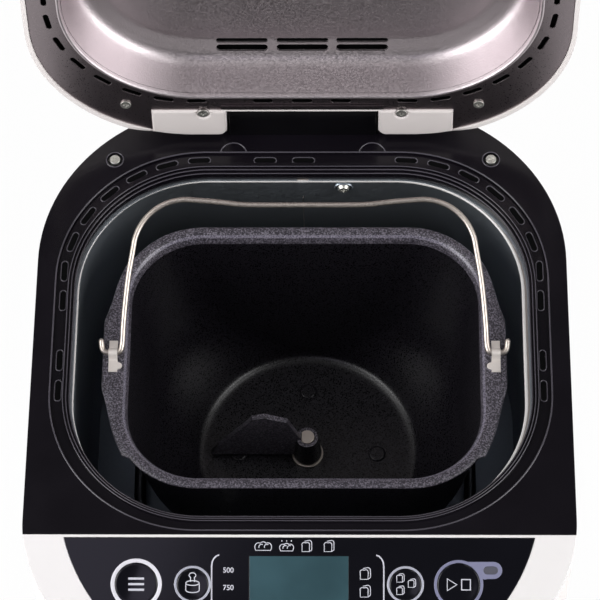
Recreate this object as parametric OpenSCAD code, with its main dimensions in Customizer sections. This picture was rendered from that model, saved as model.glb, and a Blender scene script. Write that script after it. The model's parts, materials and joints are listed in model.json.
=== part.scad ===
/* [Body] */
// Width of the body across its sides
body_w = 280; // [276:1:300]
// Depth of the body from front to rear
body_l = 317.4; // [316:0.2:330]
// Height of the top deck above the bench
deck_h = 225; // [222:1:240]
// Wall of the moulded body shell
wall = 2.5; // [2:0.1:3]
// Plan radius of the front corners
front_r = 64; // [58:1:68]
// Plan radius of the bowed front face
front_bow_r = 600; // [500:10:900]
// Plan radius of the rear corners
rear_r = 97; // [90:1:100]
// Height of the rubber feet
foot_h = 4; // [3:0.5:6]
// Diameter of each rubber foot
foot_d = 22; // [18:1:24]
// Height of the base tray's visible plinth
plinth_h = 8; // [7:0.5:10]
/* [Control panel] */
// Slope of the panel from horizontal
panel_tilt = 28; // [25:1:30]
// Plan length of the sloping panel
panel_l = 61.8; // [61:0.2:64]
// Thickness of the white bezel
bezel_t = 2.2; // [2:0.1:3]
// Depth of the bezel's rolled edge
skirt_t = 7; // [5:0.5:7.5]
// Half width of the black insert at its top edge
insert_hw = 119; // [116:1:120]
// Radius of the big menu button
menu_r = 10.6; // [9:0.1:11]
// Radius of the start button
start_r = 10.6; // [9:0.1:11]
// Radius of the weight and crust buttons
small_r = 7.8; // [7:0.1:8.2]
// Radius of the time buttons
time_r = 5.5; // [4.5:0.1:6]
// Travel of a button
button_travel = 0.8; // [0.5:0.1:1]
// Width of the display window
lcd_w = 50; // [44:1:52]
// Height of the display window along the slope
lcd_l = 27; // [24:1:28]
/* [Top deck] */
// Thickness of the top deck
deck_t = 3; // [2.5:0.1:4]
// Width of the vent ring across its outer edge
ring_w = 260; // [258:1:264]
// Length of the vent ring, front to rear
ring_l = 223; // [220:1:224]
// Corner radius of the vent ring
ring_r = 78; // [72:1:80]
// Length of a vent slot
slot_l = 12; // [10:0.5:13]
// Width of a vent slot
slot_w = 3.5; // [3:0.1:4]
// Centre distance of the vent slots
slot_pitch = 17.7; // [16:0.1:19]
// Half width of the hinge block
tower_hw = 39.6; // [36:0.2:42]
/* [Oven] */
// Width of the oven opening
oven_w = 240; // [236:1:242]
// Length of the oven opening, front to rear
oven_l = 202.4; // [199:0.2:204]
// Corner radius of the oven opening
oven_r = 70; // [64:1:74]
// Thickness of the oven's sheet steel
sheet_t = 1; // [0.8:0.1:1.2]
// Height of the oven floor above the bench
floor_z = 61; // [60:1:66]
// Diameter of the heating element's tube
heater_d = 6.6; // [6:0.1:8]
/* [Drive] */
// Diameter of the drive shaft and the pan's shaft
shaft_d = 8; // [6:0.1:8]
// Diameter of the large pulley
pulley_d = 96; // [80:1:100]
// Diameter of the motor's pulley
motor_pulley_d = 16; // [14:1:20]
// Sideways place of the pan and its shaft
pan_x = 1.6; // [-2:0.1:2]
// Sideways place of the motor
motor_x = 62; // [58:1:66]
// Diameter of the motor
motor_d = 56; // [50:1:58]
// Height of the motor's case
motor_l = 58; // [50:1:64]
/* [Pan] */
// Inside width of the pan at its mouth
pan_w = 188; // [180:1:190]
// Inside length of the pan at its mouth, front to rear
pan_l = 143; // [138:1:146]
// Depth of the pan inside
pan_depth = 122; // [116:1:124]
// Diameter of the pan's round floor
pan_floor_d = 124; // [116:1:128]
// Thickness of the pan's wall
pan_t = 1.5; // [1.2:0.1:2]
// Width of the pan's rim
rim_w = 5.8; // [5:0.1:7]
// Diameter of the bail's wire
wire_d = 2.9; // [2.6:0.1:3.2]
// Reach of the bail from its pivot
bail_l = 77.8; // [74:0.2:80]
// Lean of the bail from upright
bail_lean = 65; // [60:1:70]
// Height of the paddle's blade
blade_h = 46; // [40:1:50]
// Reach of the paddle's blade
blade_l = 54; // [46:1:56]
/* [Lid] */
// Width of the lid
lid_w = 286; // [285:1:290]
// Plan radius of the lid's rear corners
lid_rear_r = 84; // [80:1:90]
// Plan radius of the lid's front corners
lid_front_r = 34; // [28:1:40]
// Height of the lid's crown above the deck
lid_h = 52; // [50:1:58]
// Radius of the lid's crown
crown_r = 520; // [480:10:600]
// Wall of the lid's shell
lid_wall = 2.4; // [2:0.1:3]
// Depth of the lid's steel dome
dome_depth = 26; // [22:1:28]
// Angle of the lid's rest pose from closed
lid_open = 98.4; // [90:0.2:100]
/* [Hidden] */
$fn = 96;
eps = 0.01;
// Clearances
seat_gap = 0.05;      // two fixed pieces, one in the other
fit_gap = 0.3;        // covers and panels beside each other
run_gap = 0.05;       // a shaft in its bush
swing_gap = 0.6;      // the lid's notch around the hinge block
button_gap = 0.3;     // a button in its hole
pan_rest_gap = 0.35;  // the pan above its seat
// Places, from front to rear
lid_reach = 59.6;     // the open lid behind its hinge pin
hinge_setback = 9.4;
front_y = -(body_l - hinge_setback + lid_reach) / 2;
rear_y = front_y + body_l;
panel_top_y = front_y + panel_l;
hinge_y = rear_y - hinge_setback;
hinge_z = deck_h + 15;
ring_front_gap = 2.2;
ring_y = panel_top_y + ring_front_gap + ring_l / 2;
oven_y = ring_y - 1.8;
pan_y = oven_y - 2.4;
// Plan of the body
corner_x = body_w / 2 - front_r;
bow_y = front_y + front_bow_r;
corner_y = bow_y - sqrt(pow(front_bow_r - front_r, 2) - pow(corner_x, 2));
bow_half = corner_x * front_bow_r / (front_bow_r - front_r);
// Levels, from the bench up
tray_t = 2.5;
shell_z = foot_h + plinth_h;
tray_lip_h = 6;
gland_x = -30;
gland_z = shell_z + tray_lip_h + 10;
gland_r = 7;
gland_bore_r = 3.9;
chassis_z = shell_z + 14;
chassis_t = 1.5;
chassis_top = chassis_z + chassis_t;
deck_low = deck_h - deck_t;
// Top deck
channel_w = 6.5;
channel_depth = 1.6;
collar_drop = 8;
collar_t = 4.5;
slot_inset = 4.3;
screw_r = 1.8;
screw_head_r = 2.8;
deck_screw_in = 11.8;        // from the body's edge, in its rear corner
deck_screw_turn = 46.6;
deck_screw_x = body_w / 2 - rear_r + (rear_r - deck_screw_in) * cos(deck_screw_turn);
deck_screw_y = rear_y - rear_r + (rear_r - deck_screw_in) * sin(deck_screw_turn);
deck_boss_l = 24;
panel_lip = 0.5;
// Hinge
pin_r = 3;
tower_r = 10;
pin_l = 26;
pin_in = 14;
arm_in = tower_hw + swing_gap + lid_wall + fit_gap + 0.6;
arm_out = 80.5;
lid_low = deck_h + 1;
flange_z = deck_h + 2;
flange_t = 0.8;
relief_r = hinge_z - deck_h - 0.6;
// Control panel, as places along the slope below the deck
control_s = 25.4;
menu_x = -82;
start_x = 80.3;
small_x = 53.6;
time_x = 12;
time_s = 47;
lcd_s = 11.2 + lcd_l / 2;
led_x = 96.4;
led_s = 18.2;
overlay_t = 1.8;
overlay_proud = 0.2;
opening_hw = insert_hw - 7;
board_hw = insert_hw - 15;
insert_bottom_s = 62;
insert_side_r = 92;
insert_bow_r = 420;
ledge_w = 3;
ring_t = 0.5;
ring_wide = 1.9;
ring_slim = 1.2;
button_flange_t = 1.5;
board_z = -12.6;
board_t = 1.6;
switch_h = 1.7;
lens_t = 1.2;
// Pan
rim_z = deck_h - 14;
pan_floor_z = rim_z - pan_depth;
rim_t = 2;
pan_r = 39;
pan_draft = 8.5;
lug_hw = 106;
lug_half_l = 20;
pan_flare_h = 26;
shaft_r = shaft_d / 2;
bush_r = shaft_r + run_gap + 2.9;
bush_flange_r = 8.8;
bush_l = 9;
bush_flange_t = 1.5;
rivet_ring_r = 39;
rivet_r = 5;
base_ring_r = 52;
base_ring_h = 16;
pan_lug_y = pan_y;
// Bail, in its own plane: x across and s from the pivot
wire_r = wire_d / 2;
pivot_z = rim_z + wire_r + 0.4;
arm_x = 95.8;
shoulder_r = 27.8;
shoulder_x = 62.5;
shoulder_s = bail_l - 25;
clip_x = 100.6;
// Paddle
hub_r1 = 8;
hub_r2 = 6.1;
hub_h = 19;
hub_z = pan_floor_z + bush_flange_t + 0.9;
blade_t = 3;
// Drive
bearing_wall = 2;
housing_h = 29;
coupler_z = floor_z + 6;
dog_x = 10;
dog_r = 3.5;
dog_h = 12.5;
pulley_h = 10;
pulley_z = shell_z + 1;
belt_t = 1.6;
belt_h = 7;
belt_gap = 0.3;
motor_y = corner_y - 29;
socket_r = base_ring_r + 3;
socket_h = 18;

module round_rect(hx, hy, r) {
    square([2 * hx, 2 * (hy - r)], center = true);
    square([2 * (hx - r), 2 * hy], center = true);
    for (sx = [-1, 1], sy = [-1, 1])
        translate([sx * (hx - r), sy * (hy - r)])
            circle(r);
}

module stadium(length, width) {
    square([length - width, width], center = true);
    for (s = [-1, 1])
        translate([s * (length - width) / 2, 0])
            circle(width / 2);
}

module body_plan(inset = 0) {
    hx = body_w / 2 - inset;
    rear_cy = rear_y - rear_r;
    translate([-hx, corner_y])
        square([2 * hx, rear_cy - corner_y]);
    translate([rear_r - body_w / 2, corner_y])
        square([body_w - 2 * rear_r, rear_y - inset - corner_y]);
    for (s = [-1, 1]) {
        translate([s * (body_w / 2 - rear_r), rear_cy])
            circle(rear_r - inset);
        translate([s * corner_x, corner_y])
            circle(front_r - inset);
    }
    intersection() {
        translate([0, bow_y])
            circle(front_bow_r - inset, $fn = 720);
        translate([-bow_half, front_y - 1])
            square([2 * bow_half, corner_y - front_y + 2]);
    }
}

module ring_plan(inset = 0) {
    translate([0, ring_y])
        round_rect(ring_w / 2 - inset, ring_l / 2 - inset, ring_r - inset);
}

module oven_plan(inset = 0) {
    translate([0, oven_y])
        round_rect(oven_w / 2 - inset, oven_l / 2 - inset, oven_r - inset);
}

module slab(z0, z1) {
    translate([0, 0, z0])
        linear_extrude(z1 - z0)
            children();
}

// The sloping panel's own frame: x to the right, y up the slope, z out of the panel
module on_panel() {
    translate([0, panel_top_y, deck_h + panel_lip])
        rotate([panel_tilt, 0, 0])
            children();
}

module below_panel(depth) {
    on_panel()
        translate([-250, -150, -500 - depth])
            cube([500, 650, 500]);
}

module tube(r_out, r_in, h) {
    difference() {
        cylinder(r = r_out, h = h);
        translate([0, 0, -1])
            cylinder(r = r_in, h = h + 2);
    }
}

// ---------------------------------------------------------------- base
chassis_post_x = 52;
chassis_front_y = motor_y - motor_d / 2 - 3;
chassis_rear_y = pan_y + 58;
base_screw_places = [[-118, 20], [118, 20], [-118, -95], [118, -95], [-50, 108], [50, 108]];
chassis_posts = [[-chassis_post_x, chassis_rear_y - 8], [chassis_post_x, chassis_rear_y - 8],
    [-chassis_post_x, pan_y - 50], [chassis_post_x + 38, motor_y + 6], [motor_x - 36, motor_y - 6]];
power_x = 30 - body_w / 2;   // the power board's left edge
power_y = corner_y - 42.6;
board_posts = [for (x = [6, 82], y = [6, 33]) [power_x + x, power_y + y]];
board_post_top = shell_z + 8;
foot_places = [[-104, 62], [104, 62], [-104, -118], [104, -118]];

module base_tray() color([0.09, 0.09, 0.10]) {
    difference() {
        union() {
            slab(foot_h, shell_z) body_plan(wall / 2);
            slab(shell_z - eps, shell_z + tray_lip_h) body_plan(wall + fit_gap);
        }
        slab(foot_h + tray_t, shell_z + tray_lip_h + 1) body_plan(wall + fit_gap + 2);
        for (p = foot_places)
            translate([p[0], p[1], foot_h - 1])
                cylinder(d = foot_d / 2, h = tray_t + 2);
        for (p = base_screw_places)
            translate([p[0], p[1], foot_h - 1])
                cylinder(r = screw_r + fit_gap, h = tray_t + 2);
        for (i = [0:6])
            translate([-30 + 10 * i, 70, foot_h - 1])
                slab(0, tray_t + 2) rotate(90) stadium(34, 3);
    }
    for (p = chassis_posts)
        translate([p[0], p[1], foot_h + tray_t - eps])
            cylinder(d = 9, h = chassis_z - foot_h - tray_t + eps);
    for (p = board_posts)
        translate([p[0], p[1], foot_h + tray_t - eps])
            cylinder(d = 6, h = board_post_top - foot_h - tray_t + eps);
}

module rubber_feet() color([0.13, 0.13, 0.14])
    for (p = foot_places)
        translate([p[0], p[1], 0]) {
            cylinder(d1 = foot_d - 2, d2 = foot_d, h = foot_h - seat_gap);
            cylinder(r = foot_d / 4 - seat_gap, h = foot_h + tray_t - 0.3);
        }

module base_screws() color([0.7, 0.7, 0.72])
    for (p = base_screw_places)
        translate([p[0], p[1], foot_h - 1.8]) {
            cylinder(r = 3.2, h = 1.8 - seat_gap);
            cylinder(r = screw_r - seat_gap, h = 20);
        }

module body_shell() color([0.95, 0.95, 0.94]) {
    difference() {
        intersection() {
            slab(shell_z, deck_low) body_plan();
            union() {
                below_panel(skirt_t);
                translate([-250, panel_top_y, 0])
                    cube([500, 400, 400]);
            }
        }
        intersection() {
            slab(shell_z - 1, deck_low + 1) body_plan(wall);
            union() {
                below_panel(skirt_t + wall);
                translate([-250, panel_top_y + wall, 0])
                    cube([500, 400, 400]);
            }
        }
        on_panel()
            translate([-opening_hw, -61, -20])
                cube([2 * opening_hw, 58, 20]);
        for (i = [0:7])
            translate([0, rear_y, 130 + 9 * i])
                cube([74, 3 * wall, 3.2], center = true);
        translate([gland_x, rear_y, gland_z])
            cube([2 * (gland_r + seat_gap), 4 * wall, 2 * (gland_r + seat_gap)], center = true);
    }
    for (p = base_screw_places)
        translate([p[0], p[1], shell_z])
            difference() {
                union() {
                    cylinder(r = 5, h = 26);
                    rotate([0, 0, abs(p[0]) > 100 ? (p[0] > 0 ? 0 : 180) : 90])
                        translate([0, -1.2, tray_lip_h + 2])
                            cube([base_rib(p), 2.4, 15]);
                }
                translate([0, 0, -1])
                    cylinder(r = screw_r, h = 28);
            }
    for (s = [-1, 1])
        translate([s * deck_screw_x, deck_screw_y, deck_low - deck_boss_l])
            difference() {
                union() {
                    cylinder(r = 4.6, h = deck_boss_l);
                    rotate([0, 0, 90 - s * (90 - deck_screw_turn)])
                        translate([0, -1.2, 2])
                            cube([10.4, 2.4, deck_boss_l - 6]);
                }
                translate([0, 0, -1])
                    cylinder(r = screw_r, h = deck_boss_l + 2);
            }
}

// A rib's reach from its screw boss into the nearest wall
function base_rib(p) = abs(p[0]) > 100 ? body_w / 2 - wall / 2 - abs(p[0]) : rear_y - wall / 2 - 0.3 - p[1];

// The gland's neck is square where it sits in the rear wall, so that it can't turn
module cord_gland() color([0.12, 0.12, 0.13])
    translate([gland_x, rear_y, gland_z])
        rotate([-90, 0, 0])
            difference() {
                union() {
                    translate([0, 0, -10])
                        cylinder(r = gland_r, h = 12);
                    translate([0, 0, seat_gap])
                        cylinder(r1 = gland_r + 3.5, r2 = gland_r + 2.5, h = 6);
                    translate([0, 0, -wall - 3])
                        cylinder(r = gland_r + 2, h = 3 - seat_gap);
                    translate([-gland_r, -gland_r, -wall])
                        cube([2 * gland_r, 2 * gland_r, wall]);
                }
                translate([0, 0, -11])
                    cylinder(r = gland_bore_r, h = 30);
            }

// ---------------------------------------------------------------- control panel
module insert_plan(inset = 0) {
    angle = asin(19.8 / insert_side_r);
    side_cx = insert_hw - insert_side_r * cos(angle);
    intersection() {
        translate([-insert_hw, -insert_bottom_s - 1])
            square([2 * insert_hw, insert_bottom_s + 1 - 2 - inset]);
        translate([0, insert_bow_r - insert_bottom_s])
            circle(insert_bow_r - inset, $fn = 720);
        union() {
            translate([-side_cx, -insert_bottom_s - 2])
                square([2 * side_cx, insert_bottom_s + 4]);
            for (s = [-1, 1])
                translate([s * side_cx, insert_side_r * sin(angle)])
                    circle(insert_side_r - inset, $fn = 360);
        }
    }
}

module front_bezel() color([0.96, 0.96, 0.95])
    difference() {
        intersection() {
            slab(deck_h - 80, deck_h + 5) body_plan();
            difference() {
                below_panel(0);
                below_panel(skirt_t);
            }
            translate([-200, front_y - 1, 0])
                cube([400, panel_l + 0.7, 400]);
        }
        intersection() {
            slab(deck_h - 90, deck_h + 6) body_plan(wall + 2);
            below_panel(bezel_t);
            translate([-200, front_y - 1, 0])
                cube([400, panel_l - 1.3, 400]);
        }
        on_panel() {
            translate([0, 0, -10])
                linear_extrude(20)
                    insert_plan(ledge_w);
            translate([0, 0, overlay_proud - overlay_t - seat_gap])
                linear_extrude(10)
                    insert_plan(-fit_gap / 2);
        }
    }

module control_panel() color([0.03, 0.03, 0.05])
    on_panel()
        difference() {
            translate([0, 0, overlay_proud - overlay_t])
                linear_extrude(overlay_t)
                    insert_plan();
            translate([0, 0, -5])
                linear_extrude(10) {
                    translate([0, -lcd_s])
                        square([lcd_w + 2 * seat_gap, lcd_l + 2 * seat_gap], center = true);
                    button_place(menu_x, control_s) circle(menu_r + button_gap);
                    button_place(start_x, control_s) circle(start_r + button_gap);
                    for (s = [-1, 1]) {
                        button_place(s * small_x, control_s) circle(small_r + button_gap);
                        button_place(s * time_x, time_s) circle(time_r + button_gap);
                    }
                    button_place(led_x, led_s) stadium(7.4, 4);
                }
        }

module button_place(x, s)
    translate([x, -s])
        children();

module button_rings() color([0.62, 0.62, 0.66])
    on_panel()
        translate([0, 0, overlay_proud + eps])
            linear_extrude(ring_t)
                difference() {
                    union() {
                        button_place(menu_x, control_s) circle(menu_r + button_gap + ring_wide);
                        button_place(start_x, control_s) circle(start_r + button_gap + ring_slim);
                        for (s = [-1, 1])
                            button_place(s * small_x, control_s) circle(small_r + button_gap + ring_slim);
                        button_place((start_x + led_x + 5.5) / 2, led_s)
                            stadium(led_x - start_x + 5.5 + 8, 8.6);
                    }
                    button_place(menu_x, control_s) circle(menu_r + button_gap);
                    button_place(start_x, control_s) circle(start_r + button_gap);
                    for (s = [-1, 1])
                        button_place(s * small_x, control_s) circle(small_r + button_gap);
                    button_place(led_x, led_s) stadium(7.4, 4);
                }

module indicator_lens() color([0.45, 0.45, 0.48])
    on_panel()
        translate([led_x, -led_s, overlay_proud - overlay_t])
            linear_extrude(overlay_t + ring_t)
                stadium(7.4 - 2 * seat_gap, 4 - 2 * seat_gap);

module lcd_window() color([0.25, 0.36, 0.38])
    on_panel()
        translate([-lcd_w / 2, -lcd_s - lcd_l / 2, overlay_proud - lens_t - 0.1])
            cube([lcd_w, lcd_l, lens_t]);

module lcd_module() color([0.25, 0.36, 0.38])
    on_panel()
        translate([-lcd_w / 2 - 3, -lcd_s - lcd_l / 2 - 1.8, board_z + board_t + seat_gap])
            cube([lcd_w + 6, lcd_l + 3.6, -overlay_t + overlay_proud - 2 * seat_gap - board_z - board_t]);

module push_button(x, s, r, proud = 0.9)
    on_panel()
        translate([x, -s, 0]) {
            translate([0, 0, -overlay_t - 0.2])
                cylinder(r = r, h = overlay_t + 0.2 + proud);
            translate([0, 0, -overlay_t - 0.1 - button_flange_t])
                cylinder(r = r + 1.2, h = button_flange_t);
            translate([0, 0, board_z + board_t + switch_h + button_travel + 0.4])
                cylinder(r = 2.2, h = 5);
        }

module menu_button() color([0.05, 0.05, 0.07]) push_button(menu_x, control_s, menu_r);
module weight_button() color([0.05, 0.05, 0.07]) push_button(-small_x, control_s, small_r);
module crust_button() color([0.05, 0.05, 0.07]) push_button(small_x, control_s, small_r);
module start_button() color([0.05, 0.05, 0.07]) push_button(start_x, control_s, start_r);
module time_up_button() color([0.05, 0.05, 0.07]) push_button(time_x, time_s, time_r);
module time_down_button() color([0.05, 0.05, 0.07]) push_button(-time_x, time_s, time_r);

board_s = 33.5;
module control_board() color([0.10, 0.32, 0.16])
    on_panel()
        translate([-board_hw, -board_s - 22, board_z])
            cube([2 * board_hw, 44, board_t]);

module tact_switches() color([0.15, 0.15, 0.16])
    on_panel()
        translate([0, 0, board_z + board_t + seat_gap])
            for (p = [[menu_x, control_s], [start_x, control_s], [small_x, control_s],
                    [-small_x, control_s], [time_x, time_s], [-time_x, time_s]])
                if (abs(p[0]) > lcd_w / 2 + 6 || p[1] > lcd_s + lcd_l / 2 + 4)
                    translate([p[0] - 3, -p[1] - 3, 0])
                        cube([6, 6, switch_h - seat_gap]);

module power_board() color([0.10, 0.32, 0.16])
    translate([power_x, power_y, board_post_top])
        cube([88, 39, board_t]);

module transformer() color([0.75, 0.62, 0.25])
    translate([power_x + 6, power_y + 7, board_post_top + board_t]) {
        cube([32, 27, 26]);
        translate([-4, 4, 4])
            cube([40, 19, 18]);
    }

module relay() color([0.12, 0.25, 0.45])
    translate([power_x + 48, power_y + 5, board_post_top + board_t])
        cube([29, 13, 16]);

// ---------------------------------------------------------------- top deck
slot_hx = ring_w / 2 - slot_inset;
slot_hy = ring_l / 2 - slot_inset;
slot_cr = ring_r - slot_inset;
slot_first_y = ring_y - 32.1;
corner_slots = floor(slot_cr * PI / 2 / slot_pitch);

module vent_slot()
    translate([0, 0, deck_h - deck_t - 1])
        linear_extrude(deck_t + 2)
            stadium(slot_l, slot_w);

module deck_slots() {
    for (s = [-1, 1]) {
        for (i = [0, 1, 3, 4])
            translate([s * slot_hx, slot_first_y + i * slot_pitch, 0])
                rotate([0, 0, 90])
                    vent_slot();
        translate([s * (slot_hx - slot_cr), ring_y + slot_hy - slot_cr, 0])
            for (i = [0:corner_slots - 1])
                rotate([0, 0, s * (i * slot_pitch / slot_cr * 180 / PI - 71.8)])
                    translate([0, slot_cr, 0])
                        vent_slot();
    }
    for (x = [-20.3, 0.4])
        translate([x, ring_y + slot_hy, 0])
            vent_slot();
}

module top_deck() color([0.13, 0.13, 0.14])
    difference() {
        union() {
            intersection() {
                slab(deck_low, deck_h) body_plan();
                translate([-200, panel_top_y, 0])
                    cube([400, 400, 400]);
            }
            slab(deck_h - collar_drop, deck_low + eps) oven_plan(-collar_t);
        }
        difference() {
            slab(deck_h - channel_depth, deck_h + 1) ring_plan();
            slab(deck_h - channel_depth - 1, deck_h + 2) ring_plan(channel_w);
        }
        slab(deck_h - 0.9, deck_h + 1) oven_plan(-3.2);
        slab(deck_h - 2.2, deck_h + 1) oven_plan(-1.6);
        slab(deck_h - collar_drop - 1, deck_h + 1) oven_plan();
        deck_slots();
        for (s = [-1, 1])
            translate([s * deck_screw_x, deck_screw_y, deck_h - 1.2]) {
                cylinder(r = 4.6, h = 2);
                translate([0, 0, -10])
                    cylinder(r = screw_r + fit_gap, h = 12);
            }
    }

module hinge_block() color([0.05, 0.05, 0.06])
    difference() {
        union() {
            translate([-tower_hw, hinge_y - tower_r, deck_h])
                cube([2 * tower_hw, 2 * tower_r - 1, hinge_z - deck_h]);
            translate([-tower_hw, hinge_y, hinge_z])
                rotate([0, 90, 0])
                    cylinder(r = tower_r, h = 2 * tower_hw);
            for (s = [-1, 1])
                translate([s * 37.5, hinge_y - tower_r - 4, deck_h])
                    cylinder(r = 6, h = 0.7);
        }
        for (s = [-1, 1])
            translate([s * (tower_hw - pin_in / 2 + 1), hinge_y, hinge_z])
                rotate([0, 90, 0])
                    cylinder(r = pin_r + seat_gap, h = pin_in + 2, center = true);
    }

module hinge_pins() color([0.75, 0.75, 0.77])
    for (s = [-1, 1])
        translate([s * (tower_hw - pin_in + pin_l / 2 + 0.5), hinge_y, hinge_z])
            rotate([0, 90, 0])
                cylinder(r = pin_r, h = pin_l, center = true);

module deck_screws() color([0.80, 0.80, 0.80])
    for (s = [-1, 1])
        translate([s * deck_screw_x, deck_screw_y, deck_h - 1.2 + eps]) {
            difference() {
                cylinder(r = screw_head_r, h = 1.6);
                for (a = [0, 90])
                    rotate([0, 0, a + 20])
                        translate([0, 0, 1.6])
                            cube([3.2, 0.7, 1.2], center = true);
            }
            translate([0, 0, -16])
                cylinder(r = screw_r - seat_gap, h = 17);
        }

// ---------------------------------------------------------------- oven
liner_top = deck_h - collar_drop - fit_gap;
module oven_liner() color([0.55, 0.58, 0.63])
    difference() {
        union() {
            slab(liner_top - sheet_t, liner_top) oven_plan(-5);
            slab(floor_z, liner_top) oven_plan(0);
        }
        slab(floor_z - 1, liner_top + 1) oven_plan(sheet_t);
        translate([0, oven_y + oven_l / 2, liner_top])
            cube([6, 14, 5], center = true);
        translate([0, oven_y + oven_l / 2 + 2, liner_top - 80])
            cube([0.6, 20, 2 * (liner_top - 80 - floor_z - 12)], center = true);
        translate([22, oven_y + oven_l / 2, deck_h - 15.3])
            rotate([90, 0, 0])
                cylinder(r = screw_r + 0.1, h = 10, center = true);
        translate([-40, oven_y - oven_l / 2, 128])
            rotate([90, 0, 0])
                cylinder(r = 3 + seat_gap, h = 10, center = true);
        for (s = [-1, 1])
            translate([s * 9, oven_y + oven_l / 2, heater_z])
                rotate([90, 0, 0])
                    cylinder(r = 5, h = 10, center = true);
    }

module oven_floor() color([0.55, 0.58, 0.63])
    difference() {
        slab(floor_z - sheet_t, floor_z) oven_plan(-2);
        translate([pan_x, pan_y, floor_z - 5])
            cylinder(r = 16, h = 10);
    }

module liner_screw() color([0.72, 0.72, 0.74])
    translate([22, oven_y + oven_l / 2 - sheet_t - seat_gap, deck_h - 15.3])
        rotate([90, 0, 0]) {
            difference() {
                cylinder(r1 = 3.4, r2 = 2.4, h = 2);
                for (a = [0, 90])
                    rotate([0, 0, a])
                        translate([0, 0, 2])
                            cube([3, 0.7, 1.4], center = true);
            }
            translate([0, 0, -6])
                cylinder(r = screw_r - seat_gap, h = 7);
        }

support_places = [[-46, chassis_rear_y - 22], [50, chassis_rear_y - 22], [-46, pan_y - 42], [50, pan_y - 42]];
module oven_supports() color([0.66, 0.67, 0.68])
    for (p = support_places)
        translate([p[0], p[1], chassis_top])
            cylinder(r = 4, h = floor_z - sheet_t - chassis_top);

heater_z = floor_z + 16;
heater_hx = 93;
heater_hy = 80;
heater_cr = 60;
module heater_corner(sx, sy)
    translate([sx * (heater_hx - heater_cr), oven_y + sy * (heater_hy - heater_cr), heater_z])
        rotate([0, 0, sx > 0 ? (sy > 0 ? 0 : -90) : (sy > 0 ? 90 : 180)])
            rotate_extrude(angle = 90)
                translate([heater_cr, 0])
                    circle(d = heater_d, $fn = 32);
module heater_run(x, y, length, turn)
    translate([x, y, heater_z])
        rotate([0, 90, turn])
            cylinder(d = heater_d, h = length, center = true, $fn = 32);
module heating_element() color([0.25, 0.25, 0.27]) {
    straight_y = 2 * (heater_hy - heater_cr) + 2 * eps;
    for (sx = [-1, 1], sy = [-1, 1])
        heater_corner(sx, sy);
    for (sx = [-1, 1])
        heater_run(sx * heater_hx, oven_y, straight_y, 90);
    heater_run(0, oven_y - heater_hy, 2 * (heater_hx - heater_cr) + 2 * eps, 0);
    for (s = [-1, 1]) {
        translate([s * (9 + (heater_hx - heater_cr - 9) / 2), 0, 0])
            heater_run(0, oven_y + heater_hy, heater_hx - heater_cr - 9 + 2 * eps, 0);
        translate([s * 9, oven_y + heater_hy, heater_z])
            sphere(d = heater_d, $fn = 32);
        translate([s * 9, oven_y + heater_hy, heater_z])
            rotate([-90, 0, 0])
                cylinder(d = heater_d, h = oven_l / 2 - heater_hy + 10, $fn = 32);
    }
}

module heater_terminals() color([0.90, 0.88, 0.80])
    for (s = [-1, 1])
        translate([s * 9, oven_y + oven_l / 2 + seat_gap, heater_z])
            rotate([-90, 0, 0])
                tube(7, heater_d / 2 + seat_gap, 7);

module temperature_sensor() color([0.80, 0.80, 0.80])
    translate([-40, oven_y - oven_l / 2, 128])
        rotate([-90, 0, 0]) {
            translate([0, 0, -5])
                cylinder(r = 3, h = 15);
            translate([0, 0, -5])
                cylinder(r = 5, h = 5 - seat_gap);
        }

module thermal_fuse() color([0.85, 0.85, 0.86])
    translate([-20, oven_y - oven_l / 2 - 4.2, 100]) {
        cube([20, 4, 8], center = true);
        for (s = [-1, 1])
            translate([s * 14, 0, 0])
                cube([10, 1, 5], center = true);
    }

// ---------------------------------------------------------------- chassis and drive
module chassis_plate() color([0.66, 0.67, 0.68])
    difference() {
        union() {
            translate([-chassis_post_x - 8, chassis_front_y, chassis_z])
                cube([chassis_post_x + 8 + motor_x + 38, pan_y - 42 - chassis_front_y, chassis_t]);
            translate([-chassis_post_x - 8, pan_y - 60, chassis_z])
                cube([2 * chassis_post_x + 16, chassis_rear_y - pan_y + 60, chassis_t]);
        }
        difference() {
            slab(chassis_z - 2, chassis_top + 2) square(600, center = true);
            slab(chassis_z - 3, chassis_top + 3) body_plan(wall + 5);
        }
        translate([-chassis_post_x - 20, chassis_front_y - 1, chassis_z - 1])
            cube([motor_x + 20, pan_y - 64 - chassis_front_y, chassis_t + 2]);
        translate([pan_x, pan_y, chassis_z - 1])
            cylinder(r = bush_r + bearing_wall - 1, h = chassis_t + 2);
        translate([motor_x, motor_y, chassis_z - 1])
            cylinder(r = 9, h = chassis_t + 2);
        for (a = [45:90:359])
            translate([motor_x, motor_y, chassis_z - 1])
                rotate([0, 0, a])
                    translate([motor_d / 2 - 6, 0, 0])
                        cylinder(r = screw_r + 0.1, h = chassis_t + 2);
    }

module bearing_housing() color([0.70, 0.71, 0.72])
    translate([pan_x, pan_y, chassis_top])
        difference() {
            union() {
                cylinder(r = 26, h = 4);
                cylinder(r = bush_r + bearing_wall, h = housing_h);
                for (a = [0:60:359])
                    rotate([0, 0, a])
                        translate([0, -1.2, 0])
                            cube([22, 2.4, 12]);
            }
            translate([0, 0, -1])
                cylinder(r = bush_r + seat_gap, h = housing_h + 2);
        }

module drive_bearing() color([0.72, 0.55, 0.30])
    translate([pan_x, pan_y, chassis_top + 1])
        tube(bush_r, shaft_r + run_gap, housing_h - 2);

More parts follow.
